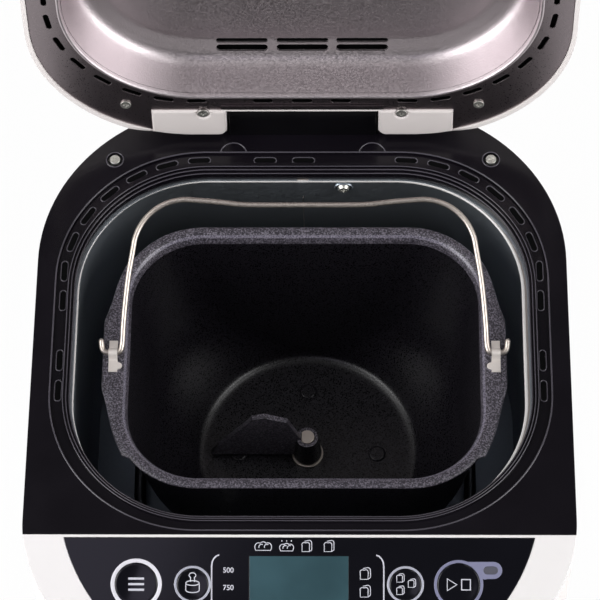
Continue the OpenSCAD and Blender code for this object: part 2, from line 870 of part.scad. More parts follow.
module pan_socket() color([0.72, 0.73, 0.74])
    translate([pan_x, pan_y, floor_z + seat_gap])
        difference() {
            union() {
                cylinder(r = socket_r + 9, h = 1.6);
                cylinder(r = socket_r + 2.4, h = socket_h);
            }
            translate([0, 0, 1.6])
                cylinder(r = base_ring_r - 5, h = socket_h);
            translate([0, 0, base_ring_top - base_ring_h - pan_rest_gap - floor_z - seat_gap])
                cylinder(r = socket_r, h = socket_h);
            translate([0, 0, -1])
                cylinder(r = 17, h = 5);
            for (a = [45:90:359])
                rotate([0, 0, a])
                    translate([socket_r + 1, 0, socket_h])
                        cube([8, 16, 10], center = true);
        }

belt_span = sqrt(pow(motor_x - pan_x, 2) + pow(motor_y - pan_y, 2));
belt_turn = atan2(motor_y - pan_y, motor_x - pan_x);
groove_d = 2 * (belt_t + belt_gap) + 1;
belt_ra = (pulley_d - groove_d) / 2 + belt_gap;
belt_rb = (motor_pulley_d - 4) / 2 + belt_gap;

// A band around both pulleys, its inner side belt_ra and belt_rb from their centres
module belt_outline(grow)
    hull() {
        circle(belt_ra + grow);
        translate([belt_span, 0])
            circle(belt_rb + grow);
    }

module drive_belt() color([0.08, 0.08, 0.08])
    translate([pan_x, pan_y, pulley_z + (pulley_h - belt_h) / 2])
        rotate([0, 0, belt_turn])
            linear_extrude(belt_h)
                difference() {
                    belt_outline(belt_t);
                    belt_outline(0);
                }

module motor() color([0.45, 0.46, 0.48])
    translate([motor_x, motor_y, chassis_top])
        difference() {
            union() {
                cylinder(d = motor_d, h = motor_l - 8);
                cylinder(d = motor_d - 10, h = motor_l - 3);
                cylinder(r = 8, h = motor_l);
            }
            translate([0, 0, -1])
                cylinder(r = 3 + run_gap, h = motor_l + 2);
            for (a = [45:90:359])
                rotate([0, 0, a])
                    translate([motor_d / 2 - 6, 0, -1])
                        cylinder(r = screw_r, h = 12);
        }

module motor_screws() color([0.8, 0.8, 0.8])
    for (a = [45:90:359])
        translate([motor_x, motor_y, chassis_z])
            rotate([0, 0, a])
                translate([motor_d / 2 - 6, 0, 0]) {
                    translate([0, 0, -1.8])
                        cylinder(r = 3, h = 1.8 - seat_gap);
                    translate([0, 0, -0.5])
                        cylinder(r = screw_r - seat_gap, h = 9);
                }

module drive_shaft() color([0.80, 0.80, 0.82])
    translate([pan_x, pan_y, pulley_z - 1])
        cylinder(r = shaft_r, h = coupler_z + 5 - pulley_z + 1);

module drive_coupler() color([0.20, 0.20, 0.21])
    translate([pan_x, pan_y, coupler_z])
        difference() {
            union() {
                cylinder(r = 15, h = 6);
                for (s = [-1, 1])
                    translate([s * dog_x, 0, 0])
                        cylinder(r = dog_r, h = dog_h);
            }
            translate([0, 0, -1])
                cylinder(r = shaft_r + seat_gap, h = 6.1);
        }

module large_pulley() color([0.18, 0.18, 0.19])
    translate([pan_x, pan_y, pulley_z])
        difference() {
            union() {
                for (z = [0, pulley_h - 1.2])
                    translate([0, 0, z])
                        cylinder(d = pulley_d + 2, h = 1.2);
                cylinder(d = pulley_d - groove_d, h = pulley_h);
            }
            for (z = [-1, pulley_h - 3])
                translate([0, 0, z])
                    tube(pulley_d / 2 - 9, 13, 4);
            for (a = [0:60:359])
                rotate([0, 0, a])
                    translate([pulley_d / 4 + 3, 0, -1])
                        cylinder(r = 7, h = pulley_h + 2);
            translate([0, 0, -1])
                cylinder(r = shaft_r + seat_gap, h = pulley_h + 2);
        }

module motor_shaft() color([0.80, 0.80, 0.82])
    translate([motor_x, motor_y, pulley_z - 1])
        cylinder(r = 3, h = chassis_top + motor_l + 2 - pulley_z);

module motor_pulley() color([0.65, 0.65, 0.67])
    translate([motor_x, motor_y, pulley_z])
        difference() {
            union() {
                for (z = [0, pulley_h - 1.2])
                    translate([0, 0, z])
                        cylinder(d = motor_pulley_d + 2, h = 1.2);
                cylinder(d = motor_pulley_d - 4, h = pulley_h);
            }
            translate([0, 0, -1])
                cylinder(r = 3 + seat_gap, h = pulley_h + 2);
        }

// ---------------------------------------------------------------- pan
module pan_form(grow = 0, low = 0)
    hull() {
        translate([pan_x, pan_y, pan_floor_z - low])
            cylinder(r = pan_floor_d / 2 + grow, h = eps, $fn = 64);
        translate([pan_x, pan_y, pan_floor_z + pan_flare_h])
            linear_extrude(eps)
                round_rect(pan_w / 2 - pan_draft + grow, pan_l / 2 - pan_draft * 0.85 + grow,
                    pan_r + grow, $fn = 48);
        translate([pan_x, pan_y, rim_z + (grow == 0 ? 1 : -eps)])
            linear_extrude(eps)
                round_rect(pan_w / 2 + grow, pan_l / 2 + grow, pan_r + grow, $fn = 48);
    }

module rim_plan() {
    round_rect(pan_w / 2 + rim_w, pan_l / 2 + rim_w, pan_r + rim_w);
    for (s = [-1, 1])
        polygon([[s * (pan_w / 2 - 10), 52], [s * (pan_w / 2 - 0.5), 52], [s * lug_hw, lug_half_l],
            [s * lug_hw, -lug_half_l], [s * (pan_w / 2 - 0.5), -56], [s * (pan_w / 2 - 10), -56]]);
}

module bread_pan() color([0.16, 0.16, 0.17])
    difference() {
        union() {
            pan_form(pan_t, pan_t);
            translate([pan_x, pan_y, rim_z - rim_t])
                linear_extrude(rim_t)
                    rim_plan();
        }
        pan_form();
        translate([pan_x, pan_y, pan_floor_z - 10])
            cylinder(r = bush_r + seat_gap, h = 20);
        for (a = [0:90:359])
            translate([pan_x, pan_y, pan_floor_z - 10])
                rotate([0, 0, a])
                    translate([rivet_ring_r, 0, 0])
                        cylinder(r = 2.5 + seat_gap, h = 20);
    }

base_ring_top = pan_floor_z - pan_t - seat_gap;
module pan_base_ring() color([0.62, 0.63, 0.64])
    translate([pan_x, pan_y, base_ring_top - base_ring_h])
        difference() {
            cylinder(r = base_ring_r, h = base_ring_h);
            translate([0, 0, -1])
                cylinder(r = base_ring_r - 4, h = base_ring_h - 3 + 1);
            translate([0, 0, -1])
                cylinder(r = bush_r + seat_gap, h = base_ring_h + 2);
            for (a = [0:90:359])
                rotate([0, 0, a])
                    translate([rivet_ring_r, 0, -1])
                        cylinder(r = 2.5 + seat_gap, h = base_ring_h + 2);
        }

module pan_rivets() color([0.16, 0.16, 0.17])
    for (a = [0:90:359])
        translate([pan_x, pan_y, pan_floor_z])
            rotate([0, 0, a])
                translate([rivet_ring_r, 0, 0]) {
                    translate([0, 0, seat_gap])
                        cylinder(r1 = rivet_r, r2 = rivet_r - 1, h = 1);
                    translate([0, 0, -pan_t - 3 - 1])
                        cylinder(r = 2.5, h = pan_t + 4 + 0.5);
                }

module pan_bush() color([0.80, 0.80, 0.80])
    translate([pan_x, pan_y, 0])
        difference() {
            union() {
                translate([0, 0, pan_floor_z - bush_l])
                    cylinder(r = bush_r, h = bush_l + 0.5);
                translate([0, 0, pan_floor_z + seat_gap])
                    cylinder(r = bush_flange_r, h = bush_flange_t - seat_gap);
            }
            cylinder(r = shaft_r + run_gap, h = 300);
        }

module pan_seal() color([0.10, 0.10, 0.10])
    translate([pan_x, pan_y, pan_floor_z + bush_flange_t])
        tube(5.6, shaft_r + 0.35, 0.6);

shaft_top = hub_z + hub_h + 0.8;
module shaft_section(r, flat)
    difference() {
        circle(r);
        translate([-r - 5, -10])
            square([5 + flat, 20]);
    }
module pan_shaft() color([0.82, 0.80, 0.78])
    translate([pan_x, pan_y, 0]) {
        slab(coupler_z + 9, hub_z) circle(shaft_r);
        slab(hub_z - eps, shaft_top) shaft_section(shaft_r, 1);
    }

module pan_coupler() color([0.35, 0.35, 0.36])
    translate([pan_x, pan_y, coupler_z + 7.4])
        difference() {
            union() {
                cylinder(r = 6, h = 4.2);
                translate([-3.6, -13, 0])
                    cube([7.2, 26, 4.2]);
            }
            translate([0, 0, 1.6 - seat_gap])
                cylinder(r = shaft_r + seat_gap, h = 10);
        }

module kneading_paddle() color([0.14, 0.14, 0.15])
    translate([pan_x, pan_y, hub_z])
        difference() {
            union() {
                cylinder(r1 = hub_r1, r2 = hub_r2, h = hub_h);
                translate([0, blade_t / 2, 0])
                    rotate([90, 0, 0])
                        linear_extrude(blade_t)
                            polygon([[-1, 0], [-1, hub_h - 3], [-5, hub_h + 4], [-10.5, blade_h - 6],
                                [-blade_l * 0.43, blade_h], [-blade_l * 0.56, blade_h - 2.5],
                                [-blade_l * 0.63, blade_h * 0.78], [-blade_l * 0.92, blade_h * 0.22],
                                [-blade_l, 0.5], [-blade_l, 0]]);
            }
            translate([0, 0, -1])
                linear_extrude(hub_h + 2)
                    shaft_section(shaft_r + 0.1, 0.9);
        }

module handle_clips() color([0.85, 0.83, 0.81])
    for (s = [-1, 1])
        translate([pan_x + s * clip_x, pan_lug_y, rim_z + seat_gap]) {
            for (t = [-1, 1])
                translate([-2.3, t > 0 ? wire_r + 0.5 : -wire_r - 0.5 - 5.5, 0])
                    cube([4.6, 5.5, 0.8]);
            translate([0, 0, pivot_z - rim_z - seat_gap])
                rotate([90, 0, 90])
                    translate([0, 0, -2.3])
                        difference() {
                            union() {
                                cylinder(r = wire_r + 1.2, h = 4.6);
                                for (t = [-1, 1])
                                    translate([t > 0 ? wire_r + 0.4 : -wire_r - 1.2,
                                            -(pivot_z - rim_z - seat_gap), 0])
                                        cube([0.8, pivot_z - rim_z - seat_gap, 4.6]);
                            }
                            translate([0, 0, -1])
                                cylinder(r = wire_r + 0.4, h = 7);
                            translate([-wire_r - 0.4, -10, -1])
                                cube([2 * wire_r + 0.8, 10, 7]);
                            translate([-10, rim_z + seat_gap - pivot_z - 10, -1])
                                cube([20, 10, 7]);
                        }
        }

// The bail in its plane: x across, y from the pivot
bail_arc = [for (i = [0:12]) [shoulder_x + shoulder_r * cos(5 + 94 * i / 12),
    shoulder_s + shoulder_r * sin(5 + 94 * i / 12)]];
bail_side = concat([[lug_hw + 2.2, 8.5], [lug_hw + 1.9, 3.2], [lug_hw + 1, 0.9], [lug_hw - 1.2, 0],
    [arm_x + 2.5, 0], [arm_x + 1.2, 0.6], [arm_x + 0.3, 2.4], [arm_x - 0.2, 6], [arm_x - 0.5, 14]],
    bail_arc, [[46, bail_l + 1.6], [34, bail_l + 0.3], [26, bail_l]]);
bail_mirrored = [for (i = [len(bail_side) - 1:-1:0]) [-bail_side[i][0], bail_side[i][1]]];
bail_path = concat(bail_side, bail_mirrored);
wire_sides = 16;
function unit(v) = v / norm(v);

// A round wire along a flat path: one ring of corners at each point of the path
module wire_along(path, r) {
    last = len(path) - 1;
    rings = [for (i = [0:last]) let (t = unit(path[min(i + 1, last)] - path[max(i - 1, 0)]))
        for (j = [0:wire_sides - 1]) let (a = 360 * j / wire_sides)
            [path[i][0] - t[1] * r * cos(a), path[i][1] + t[0] * r * cos(a), r * sin(a)]];
    sides = [for (i = [0:last - 1], j = [0:wire_sides - 1]) let (k = (j + 1) % wire_sides)
        [i * wire_sides + j, (i + 1) * wire_sides + j, (i + 1) * wire_sides + k, i * wire_sides + k]];
    ends = [[for (j = [0:wire_sides - 1]) j],
        [for (j = [wire_sides - 1:-1:0]) last * wire_sides + j]];
    polyhedron(rings, concat(sides, ends));
}

module bail_handle() color([0.82, 0.78, 0.76])
    translate([pan_x, pan_lug_y, pivot_z])
        rotate([90 - bail_lean, 0, 0])
            wire_along(bail_path, wire_r);

// ---------------------------------------------------------------- lid
lid_front_y = panel_top_y - 1.3;
lid_rear_y = hinge_y + 10.7;
lid_mid_y = (lid_front_y + lid_rear_y) / 2;

module lid_plan(inset = 0) {
    hx = lid_w / 2 - inset;
    rear_cy = lid_rear_y - lid_rear_r;
    front_cy = lid_front_y + lid_front_r;
    translate([-hx, front_cy])
        square([2 * hx, rear_cy - front_cy]);
    translate([lid_rear_r - lid_w / 2, front_cy])
        square([lid_w - 2 * lid_rear_r, lid_rear_y - inset - front_cy]);
    translate([lid_front_r - lid_w / 2, lid_front_y + inset])
        square([lid_w - 2 * lid_front_r, 2 * lid_front_r]);
    for (s = [-1, 1]) {
        translate([s * (lid_w / 2 - lid_rear_r), rear_cy])
            circle(lid_rear_r - inset);
        translate([s * (lid_w / 2 - lid_front_r), front_cy])
            circle(lid_front_r - inset);
    }
}

// Turns what is drawn closed to the open rest pose
module lid_pose()
    translate([0, hinge_y, hinge_z])
        rotate([-lid_open, 0, 0])
            translate([0, -hinge_y, -hinge_z])
                children();

module crown(inset = 0)
    translate([0, lid_mid_y, deck_h + lid_h - crown_r])
        sphere(r = crown_r - inset, $fn = 180);

// Keeps the rear edge inside the circle that it sweeps over the deck
module rear_relief()
    difference() {
        translate([-200, hinge_y, hinge_z - 100])
            cube([400, 100, 100]);
        translate([-201, hinge_y, hinge_z])
            rotate([0, 90, 0])
                cylinder(r = relief_r, h = 402);
    }

notch_hw = tower_hw + swing_gap + 0.6;
notch_y = hinge_y - tower_r - swing_gap;
module notch_block(grow = 0)
    translate([-notch_hw - grow, notch_y - grow, deck_h - 20])
        cube([2 * (notch_hw + grow), 60, 120]);

// The waste outside the rounded corner where the notch meets the rear edge
corner_round = 5;
module notch_corners()
    for (s = [-1, 1])
        translate([0, 0, deck_h - 5])
            linear_extrude(100)
                difference() {
                    translate([s * (notch_hw + corner_round / 2), lid_rear_y - corner_round / 2 + 1])
                        square([corner_round + 2, corner_round + 2], center = true);
                    translate([s * (notch_hw + corner_round), lid_rear_y - corner_round])
                        circle(corner_round);
                    translate([s * (notch_hw + corner_round + 10), lid_rear_y - corner_round])
                        square([20, 40], center = true);
                    translate([s * (notch_hw + corner_round), lid_rear_y - corner_round - 20])
                        square([40, 40], center = true);
                }

lid_screw_x = 94;
lid_screw_rear_y = hinge_y - 15.4;
lid_screw_front_y = lid_front_y + 24;
module lid_shell() color([0.94, 0.92, 0.91])
    lid_pose()
        difference() {
            union() {
                difference() {
                    intersection() {
                        slab(lid_low, deck_h + lid_h + 1) lid_plan();
                        crown();
                    }
                    difference() {
                        intersection() {
                            slab(lid_low - 1, deck_h + lid_h) lid_plan(lid_wall);
                            crown(lid_wall);
                        }
                        notch_block(lid_wall);
                    }
                }
                intersection() {
                    for (s = [-1, 1], y = [lid_screw_rear_y, lid_screw_front_y])
                        translate([s * lid_screw_x, y, flange_z + flange_t + seat_gap])
                            cylinder(r = 4, h = 60);
                    crown(lid_wall / 2);
                }
            }
            notch_block();
            notch_corners();
            rear_relief();
            for (s = [-1, 1])
                translate([s * notch_hw, hinge_y, hinge_z])
                    rotate([0, 90, 0])
                        cylinder(r = pin_r + 0.4, h = 3 * lid_wall, center = true);
            for (s = [-1, 1], y = [lid_screw_rear_y, lid_screw_front_y])
                translate([s * lid_screw_x, y, flange_z - 1])
                    cylinder(r = screw_r, h = 14);
        }

dome_hx = 123.7;
dome_rear_y = hinge_y - 19.8;
dome_front_y = lid_front_y + 17;
dome_r = 69;
dome_inset = 9;
module dome_plan(inset = 0)
    translate([0, (dome_rear_y + dome_front_y) / 2])
        round_rect(dome_hx - inset, (dome_rear_y - dome_front_y) / 2 - inset, dome_r - inset);

module dome_form(grow = 0, low = 0)
    hull() {
        translate([0, 0, flange_z - low])
            linear_extrude(eps)
                dome_plan(-grow, $fn = 96);
        translate([0, 0, flange_z + dome_depth + grow - 5])
            linear_extrude(eps)
                dome_plan(dome_inset - 2 - grow, $fn = 96);
        translate([0, 0, flange_z + dome_depth + grow])
            linear_extrude(eps)
                dome_plan(dome_inset + 2 - grow, $fn = 96);
    }

lid_slot_hx = 131.2;
lid_slot_rear_y = hinge_y - 17.9;
lid_slot_r = 73;
module lid_vent_slot()
    translate([0, 0, flange_z - 1])
        linear_extrude(flange_t + 2)
            stadium(slot_l - 1, slot_w - 0.6);

module lid_liner() color([0.50, 0.47, 0.48])
    lid_pose()
        difference() {
            union() {
                intersection() {
                    slab(flange_z, flange_z + flange_t) lid_plan(lid_wall + fit_gap);
                    union() {
                        translate([-200, lid_front_y, 0])
                            cube([400, hinge_y - 10.9 - lid_front_y, 500]);
                        for (s = [-1, 1])
                            translate([s > 0 ? arm_out + fit_gap : -200, lid_front_y, 0])
                                cube([200 - arm_out - fit_gap, 400, 500]);
                    }
                }
                dome_form(flange_t);
            }
            dome_form(0, 1);
            notch_block(lid_wall + fit_gap);
            rear_relief();
            for (s = [-1, 1]) {
                for (i = [0:5])
                    translate([s * lid_slot_hx, lid_slot_rear_y - lid_slot_r - 7 - i * slot_pitch, 0])
                        rotate([0, 0, 90])
                            lid_vent_slot();
                translate([s * (lid_slot_hx - lid_slot_r), lid_slot_rear_y - lid_slot_r, 0])
                    for (i = [0:6])
                        rotate([0, 0, s * (1.7 - i * slot_pitch / lid_slot_r * 180 / PI)])
                            translate([0, lid_slot_r, 0])
                                lid_vent_slot();
                translate([s * 20.8, lid_slot_rear_y, 0])
                    lid_vent_slot();
                for (y = [lid_screw_rear_y, lid_screw_front_y])
                    translate([s * lid_screw_x, y, flange_z - 1])
                        cylinder(r = screw_r + 0.2, h = 5);
            }
            translate([0, lid_slot_rear_y, 0])
                lid_vent_slot();
            for (x = [-32, 0, 32], y = [0, 6.8])
                translate([x, dome_rear_y - 18.2 + y, flange_z + dome_depth - 6])
                    linear_extrude(12)
                        stadium(27, 3.6);
        }

module cross_screw(head_t)
    union() {
        difference() {
            translate([0, 0, -head_t])
                cylinder(r = screw_head_r, h = head_t);
            for (a = [0, 90])
                rotate([0, 0, a])
                    translate([0, 0, -head_t])
                        cube([3, 0.7, head_t], center = true);
        }
        translate([0, 0, -head_t / 2])
            cylinder(r = screw_r - seat_gap, h = 8);
    }

arm_screw_x = 53;
arm_screw_y = hinge_y - 8.8;
arm_low = lid_low + 0.4;
module lid_screws() color([0.75, 0.74, 0.70])
    lid_pose()
        for (s = [-1, 1]) {
            for (y = [lid_screw_rear_y, lid_screw_front_y])
                translate([s * lid_screw_x, y, flange_z - seat_gap])
                    cross_screw(0.8);
            translate([s * arm_screw_x, arm_screw_y, arm_low - seat_gap])
                cross_screw(0.6);
        }

arm_front_y = hinge_y - 10.2;
module hinge_arms() color([0.94, 0.92, 0.91])
    lid_pose()
        difference() {
            intersection() {
                union()
                    for (s = [-1, 1])
                        translate([s > 0 ? arm_in : -arm_out, arm_front_y, arm_low])
                            cube([arm_out - arm_in, 60, 22]);
                slab(lid_low, lid_low + 40) lid_plan(lid_wall + seat_gap);
            }
            rear_relief();
            for (s = [-1, 1])
                translate([s * arm_in, hinge_y, hinge_z])
                    rotate([0, 90, 0])
                        cylinder(r = pin_r + run_gap, h = 50, center = true);
            for (s = [-1, 1])
                translate([s * arm_screw_x, arm_screw_y, arm_low - 1])
                    cylinder(r = screw_r, h = 10);
        }

base_tray();
rubber_feet();
base_screws();
body_shell();
cord_gland();
front_bezel();
control_panel();
button_rings();
indicator_lens();
lcd_window();
lcd_module();
menu_button();
weight_button();
crust_button();
start_button();
time_up_button();
time_down_button();
control_board();
tact_switches();
power_board();
transformer();
relay();
top_deck();
hinge_block();
hinge_pins();
deck_screws();
oven_liner();
oven_floor();
liner_screw();
oven_supports();
heating_element();
heater_terminals();
temperature_sensor();
thermal_fuse();
chassis_plate();
bearing_housing();
drive_bearing();
pan_socket();
drive_belt();
motor();
motor_screws();
drive_shaft();
drive_coupler();
large_pulley();
motor_shaft();
motor_pulley();
bread_pan();
pan_base_ring();
pan_rivets();
handle_clips();
pan_bush();
pan_seal();
pan_shaft();
pan_coupler();
kneading_paddle();
bail_handle();
lid_shell();
lid_liner();
lid_screws();
hinge_arms();
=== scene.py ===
"""A bread machine with its lid open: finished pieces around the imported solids."""

import json
import math

import bmesh
import bpy
from mathutils import Matrix, Vector


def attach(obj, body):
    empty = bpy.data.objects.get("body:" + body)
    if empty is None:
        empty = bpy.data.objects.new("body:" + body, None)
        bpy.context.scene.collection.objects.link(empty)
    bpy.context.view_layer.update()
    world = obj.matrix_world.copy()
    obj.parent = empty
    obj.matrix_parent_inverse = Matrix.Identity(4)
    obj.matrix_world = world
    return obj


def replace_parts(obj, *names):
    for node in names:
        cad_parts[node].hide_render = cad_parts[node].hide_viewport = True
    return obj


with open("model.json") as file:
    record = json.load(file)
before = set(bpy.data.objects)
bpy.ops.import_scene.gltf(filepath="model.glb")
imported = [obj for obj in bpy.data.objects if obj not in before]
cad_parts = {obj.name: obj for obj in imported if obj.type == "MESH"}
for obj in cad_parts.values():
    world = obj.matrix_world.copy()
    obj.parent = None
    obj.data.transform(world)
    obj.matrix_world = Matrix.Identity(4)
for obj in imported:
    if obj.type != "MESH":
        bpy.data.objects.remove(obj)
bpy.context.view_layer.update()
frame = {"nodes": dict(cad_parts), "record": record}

MM = 0.001
NODES = frame["nodes"]

# ---------------------------------------------------------------- shader maths


class Val:
    """A number that varies over the surface. Arithmetic on it adds Math nodes."""

    def __init__(self, finish, socket):
        self.finish = finish
        self.socket = socket

    def maths(self, operation, *values):
        node = self.finish.node("ShaderNodeMath", {"operation": operation}, dict(enumerate(values)))
        return Val(self.finish, node.outputs[0])

    def __add__(self, other):
        return self.maths("ADD", self, other)

    def __mul__(self, other):
        return self.maths("MULTIPLY", self, other)

    def ramp(self, low, high, out_low=0.0, out_high=1.0):
        """Goes smoothly from out_low to out_high as this goes from low to high."""
        node = self.finish.node(
            "ShaderNodeMapRange",
            {"interpolation_type": "SMOOTHSTEP"},
            {"Value": self, 1: low, 2: high, 3: out_low, 4: out_high},
        )
        return Val(self.finish, node.outputs[0])


class Finish:
    """A material: `node` adds any node, the other methods add what several finishes use."""

    def __init__(self, name, color, roughness=0.5, metallic=0.0, **shader):
        self.material = bpy.data.materials.new(name)
        self.material.use_nodes = True
        self.tree = self.material.node_tree
        self.shader = self.tree.nodes["Principled BSDF"]
        self.place = Val(self, self.node("ShaderNodeTexCoord").outputs["Object"])
        self.set("Base Color", color)
        self.set("Roughness", roughness)
        self.set("Metallic", metallic)
        for key, value in shader.items():
            self.set(key.replace("_", " "), value)

    def node(self, kind, settings=None, inputs=None):
        made = self.tree.nodes.new(kind)
        for key, value in (settings or {}).items():
            setattr(made, key, value)
        for key, value in (inputs or {}).items():
            self.link(made.inputs[key], value)
        return made

    def link(self, socket, value):
        if isinstance(value, Val):
            self.tree.links.new(value.socket, socket)
        elif isinstance(value, bpy.types.NodeSocket):
            self.tree.links.new(value, socket)
        elif socket.type == "RGBA" and len(value) == 3:
            socket.default_value = (*value, 1.0)
        else:
            socket.default_value = value

    def set(self, name, value):
        self.link(self.shader.inputs[name], value)

    def noise(self, size, detail=2.0):
        """Noise whose blotches are about `size` across, in metres."""
        node = self.node(
            "ShaderNodeTexNoise",
            None,
            {"Vector": self.place, "Scale": 1 / size, "Detail": detail},
        )
        return Val(self, node.outputs[0])

    def cells(self, size):
        """The distance to the middle of the nearest cell; a cell is about `size` across."""
        node = self.node("ShaderNodeTexVoronoi", None, {"Vector": self.place, "Scale": 1 / size})
        return Val(self, node.outputs["Distance"])

    def blend(self, amount, first, second):
        node = self.node(
            "ShaderNodeMix", {"data_type": "RGBA"}, {"Factor": amount, 6: first, 7: second}
        )
        return node.outputs[2]

    def relief(self, height, strength, depth):
        node = self.node(
            "ShaderNodeBump", None, {"Height": height, "Strength": strength, "Distance": depth}
        )
        self.set("Normal", node.outputs[0])


def srgb(r, g, b):
    """A colour given as it is seen, 0-255."""
    return tuple(
        (v / 255 / 12.92) if v <= 10 else ((v / 255 + 0.055) / 1.055) ** 2.4 for v in (r, g, b)
    )


def moulded(name, color, roughness, grain=0.5e-3, relief=0.15, vary=0.06, **shader):
    """Moulded plastic: fine grain in the surface, a little unevenness in its sheen."""
    finish = Finish(name, color, roughness, **shader)
    cloud = finish.noise(0.035, 3)
    fine = finish.noise(grain, 3)
    darker = tuple(c * (1 - vary) for c in color)
    finish.set("Base Color", finish.blend(cloud.ramp(0.3, 0.7), darker, color))
    finish.set("Roughness", cloud.ramp(0.3, 0.7, roughness * 0.92, roughness * 1.1))
    finish.relief(fine, relief, 0.05 * MM)
    return finish


def metal(name, color, roughness, size=0.8e-3, relief=0.2, metallic=1.0, depth=0.02):
    """Metal: a fine grain that goes into its relief and sheen, and cloudy patches."""
    finish = Finish(name, color, roughness, metallic)
    grain = finish.noise(size, 4)
    cloud = finish.noise(0.03, 3)
    darker = tuple(c * 0.82 for c in color)
    finish.set("Base Color", finish.blend(grain * 0.5 + cloud * 0.5, darker, color))
    finish.set("Roughness", grain.ramp(0.25, 0.75, roughness * 0.8, roughness * 1.25))
    finish.relief(grain, relief, depth * MM)
    return finish


def speckled(name, base, dot, roughness, cell=0.8e-3, relief=0.6):
    """Non-stick coating: charcoal, with small pale flecks and an orange-peel surface."""
    finish = Finish(name, base, roughness)
    near = finish.cells(cell)
    grain = finish.noise(cell * 0.9, 1)
    flecks = near.ramp(0.1, 0.32, 1.0, 0.0) * finish.noise(1.3e-3, 1).ramp(0.46, 0.66)
    finish.set("Base Color", finish.blend(flecks * 0.55 + grain.ramp(0.4, 0.7) * 0.3, base, dot))
    finish.set("Roughness", grain.ramp(0.3, 0.7, roughness * 0.8, roughness * 1.2))
    finish.relief(finish.noise(cell * 0.8, 2), relief, 0.05 * MM)
    return finish


FINISH = {}
STEEL_TINTS = (
    ("element_steel", (90, 90, 94)), ("motor_steel", (120, 122, 126)),
    ("sintered_bronze", (190, 145, 85)),
)


def make_finishes():
    def keep(slot, finish):
        FINISH[slot] = finish.material

    keep("white_plastic", moulded("white_plastic", (0.82, 0.77, 0.755), 0.38, vary=0.02))
    keep("white_gloss", moulded("white_gloss", (0.83, 0.805, 0.80), 0.2, 2e-3, 0.04, 0.015))
    keep("black_gloss", moulded("black_gloss", srgb(10, 10, 17), 0.12, 3e-3, 0.03, 0.2))
    keep("silver_trim", moulded("silver_trim", srgb(150, 150, 162), 0.3, 0.3e-3, 0.2, Metallic=0.6))
    keep("clear_lens", moulded("clear_lens", srgb(90, 90, 100), 0.1, 2e-3, 0.03))
    keep("lcd_glass", moulded("lcd_glass", srgb(56, 84, 92), 0.14, 0.6e-3, 0.1, 0.3))
    keep("dark_plastic", moulded("dark_plastic", srgb(20, 21, 25), 0.35))
    keep("deck_plastic", moulded(
        "deck_plastic", srgb(17, 14, 20), 0.2, 0.45e-3, 0.2, 0.2, Specular_IOR_Level=0.4
    ))
    # painted highlight: a grey copy of the deck's black plastic, so its rims read as light lines
    keep("deck_rim_highlight", moulded("deck_rim_highlight", srgb(74, 71, 78), 0.24, 2e-3, 0.03, 0.1))
    keep("shadow_black", moulded("shadow_black", srgb(3, 3, 4), 0.8, Specular_IOR_Level=0.1))
    # painted highlight: a paler, less metallic copy of the liner's steel for its rounded bend
    keep("liner_bend_highlight", metal("liner_bend_highlight", srgb(236, 234, 232), 0.4, 0.5e-3, 0.05, 0.2))
    keep("liner_lip", metal("liner_lip", srgb(176, 168, 164), 0.45, 0.5e-3, 0.1, 0.4))
    keep("board_green", moulded("board_green", srgb(25, 90, 48), 0.4))
    keep("copper_coil", moulded("copper_coil", srgb(170, 110, 55), 0.35))
    keep("relay_blue", moulded("relay_blue", srgb(30, 70, 130), 0.4))
    keep("ceramic", moulded("ceramic", srgb(225, 220, 208), 0.3))
    keep("rubber", moulded("rubber", srgb(22, 22, 23), 0.75, 0.6e-3, 0.4))
    keep("zinc_steel", metal("zinc_steel", srgb(228, 227, 220), 0.42))
    keep("bright_steel", metal("bright_steel", srgb(214, 204, 195), 0.4, relief=0.08))
    # painted light: a paler, less metallic copy of the steel, so the clips' flat tops read as lit
    keep("clip_lit_steel", metal("clip_lit_steel", srgb(240, 232, 226), 0.4, metallic=0.4))
    # painted shade: a darker copy of the white plastic for the lid's pads
    keep("pad_shaded_plastic", moulded("pad_shaded_plastic", (0.68, 0.63, 0.615), 0.36, vary=0.02))
    liner = metal("liner_steel", srgb(206, 214, 222), 0.42, 0.8e-3, 1, depth=0.04)
    # painted shade: the liner's colour darkens towards its bottom
    shade_liner_low(liner)
    keep("liner_steel", liner)
    keep("lid_steel", metal("lid_steel", srgb(200, 191, 194), 0.41, 1e-3, 1, depth=0.09))
    # painted shade: a darker copy of the lid's steel for the flange, which faces down
    keep("flange_shaded_steel", metal("flange_shaded_steel", srgb(150, 140, 143), 0.32, 0.7e-3, 0.3))
    # painted shade: a darker, duller copy of the black plastic for the hinge block
    keep("hinge_shaded_black", moulded("hinge_shaded_black", srgb(7, 6, 9), 0.4, Specular_IOR_Level=0.25))
    for slot, tint in STEEL_TINTS:
        keep(slot, metal(slot, srgb(*tint), 0.45))
    keep("cast_alloy", metal("cast_alloy", srgb(178, 180, 183), 0.4, 2e-3, 0.4))
    keep("cast_iron_dark", metal("cast_iron_dark", srgb(70, 70, 73), 0.5))
    keep("nonstick_coat", speckled(
        "nonstick_coat", srgb(7, 6, 9), srgb(62, 58, 68), 0.32, relief=0.35
    ))
    # painted light: a lighter copy of the non-stick coat for the pan's rim and the paddle's top
    keep("lit_coat", speckled("lit_coat", srgb(40, 37, 44), srgb(186, 179, 194), 0.4, 0.95e-3))
    # painted highlight: a pale band of the coat along the inside of the rim's roll
    keep("lip_highlight", speckled("lip_highlight", srgb(96, 92, 104), srgb(190, 185, 198), 0.3, 0.8e-3, 0.3))


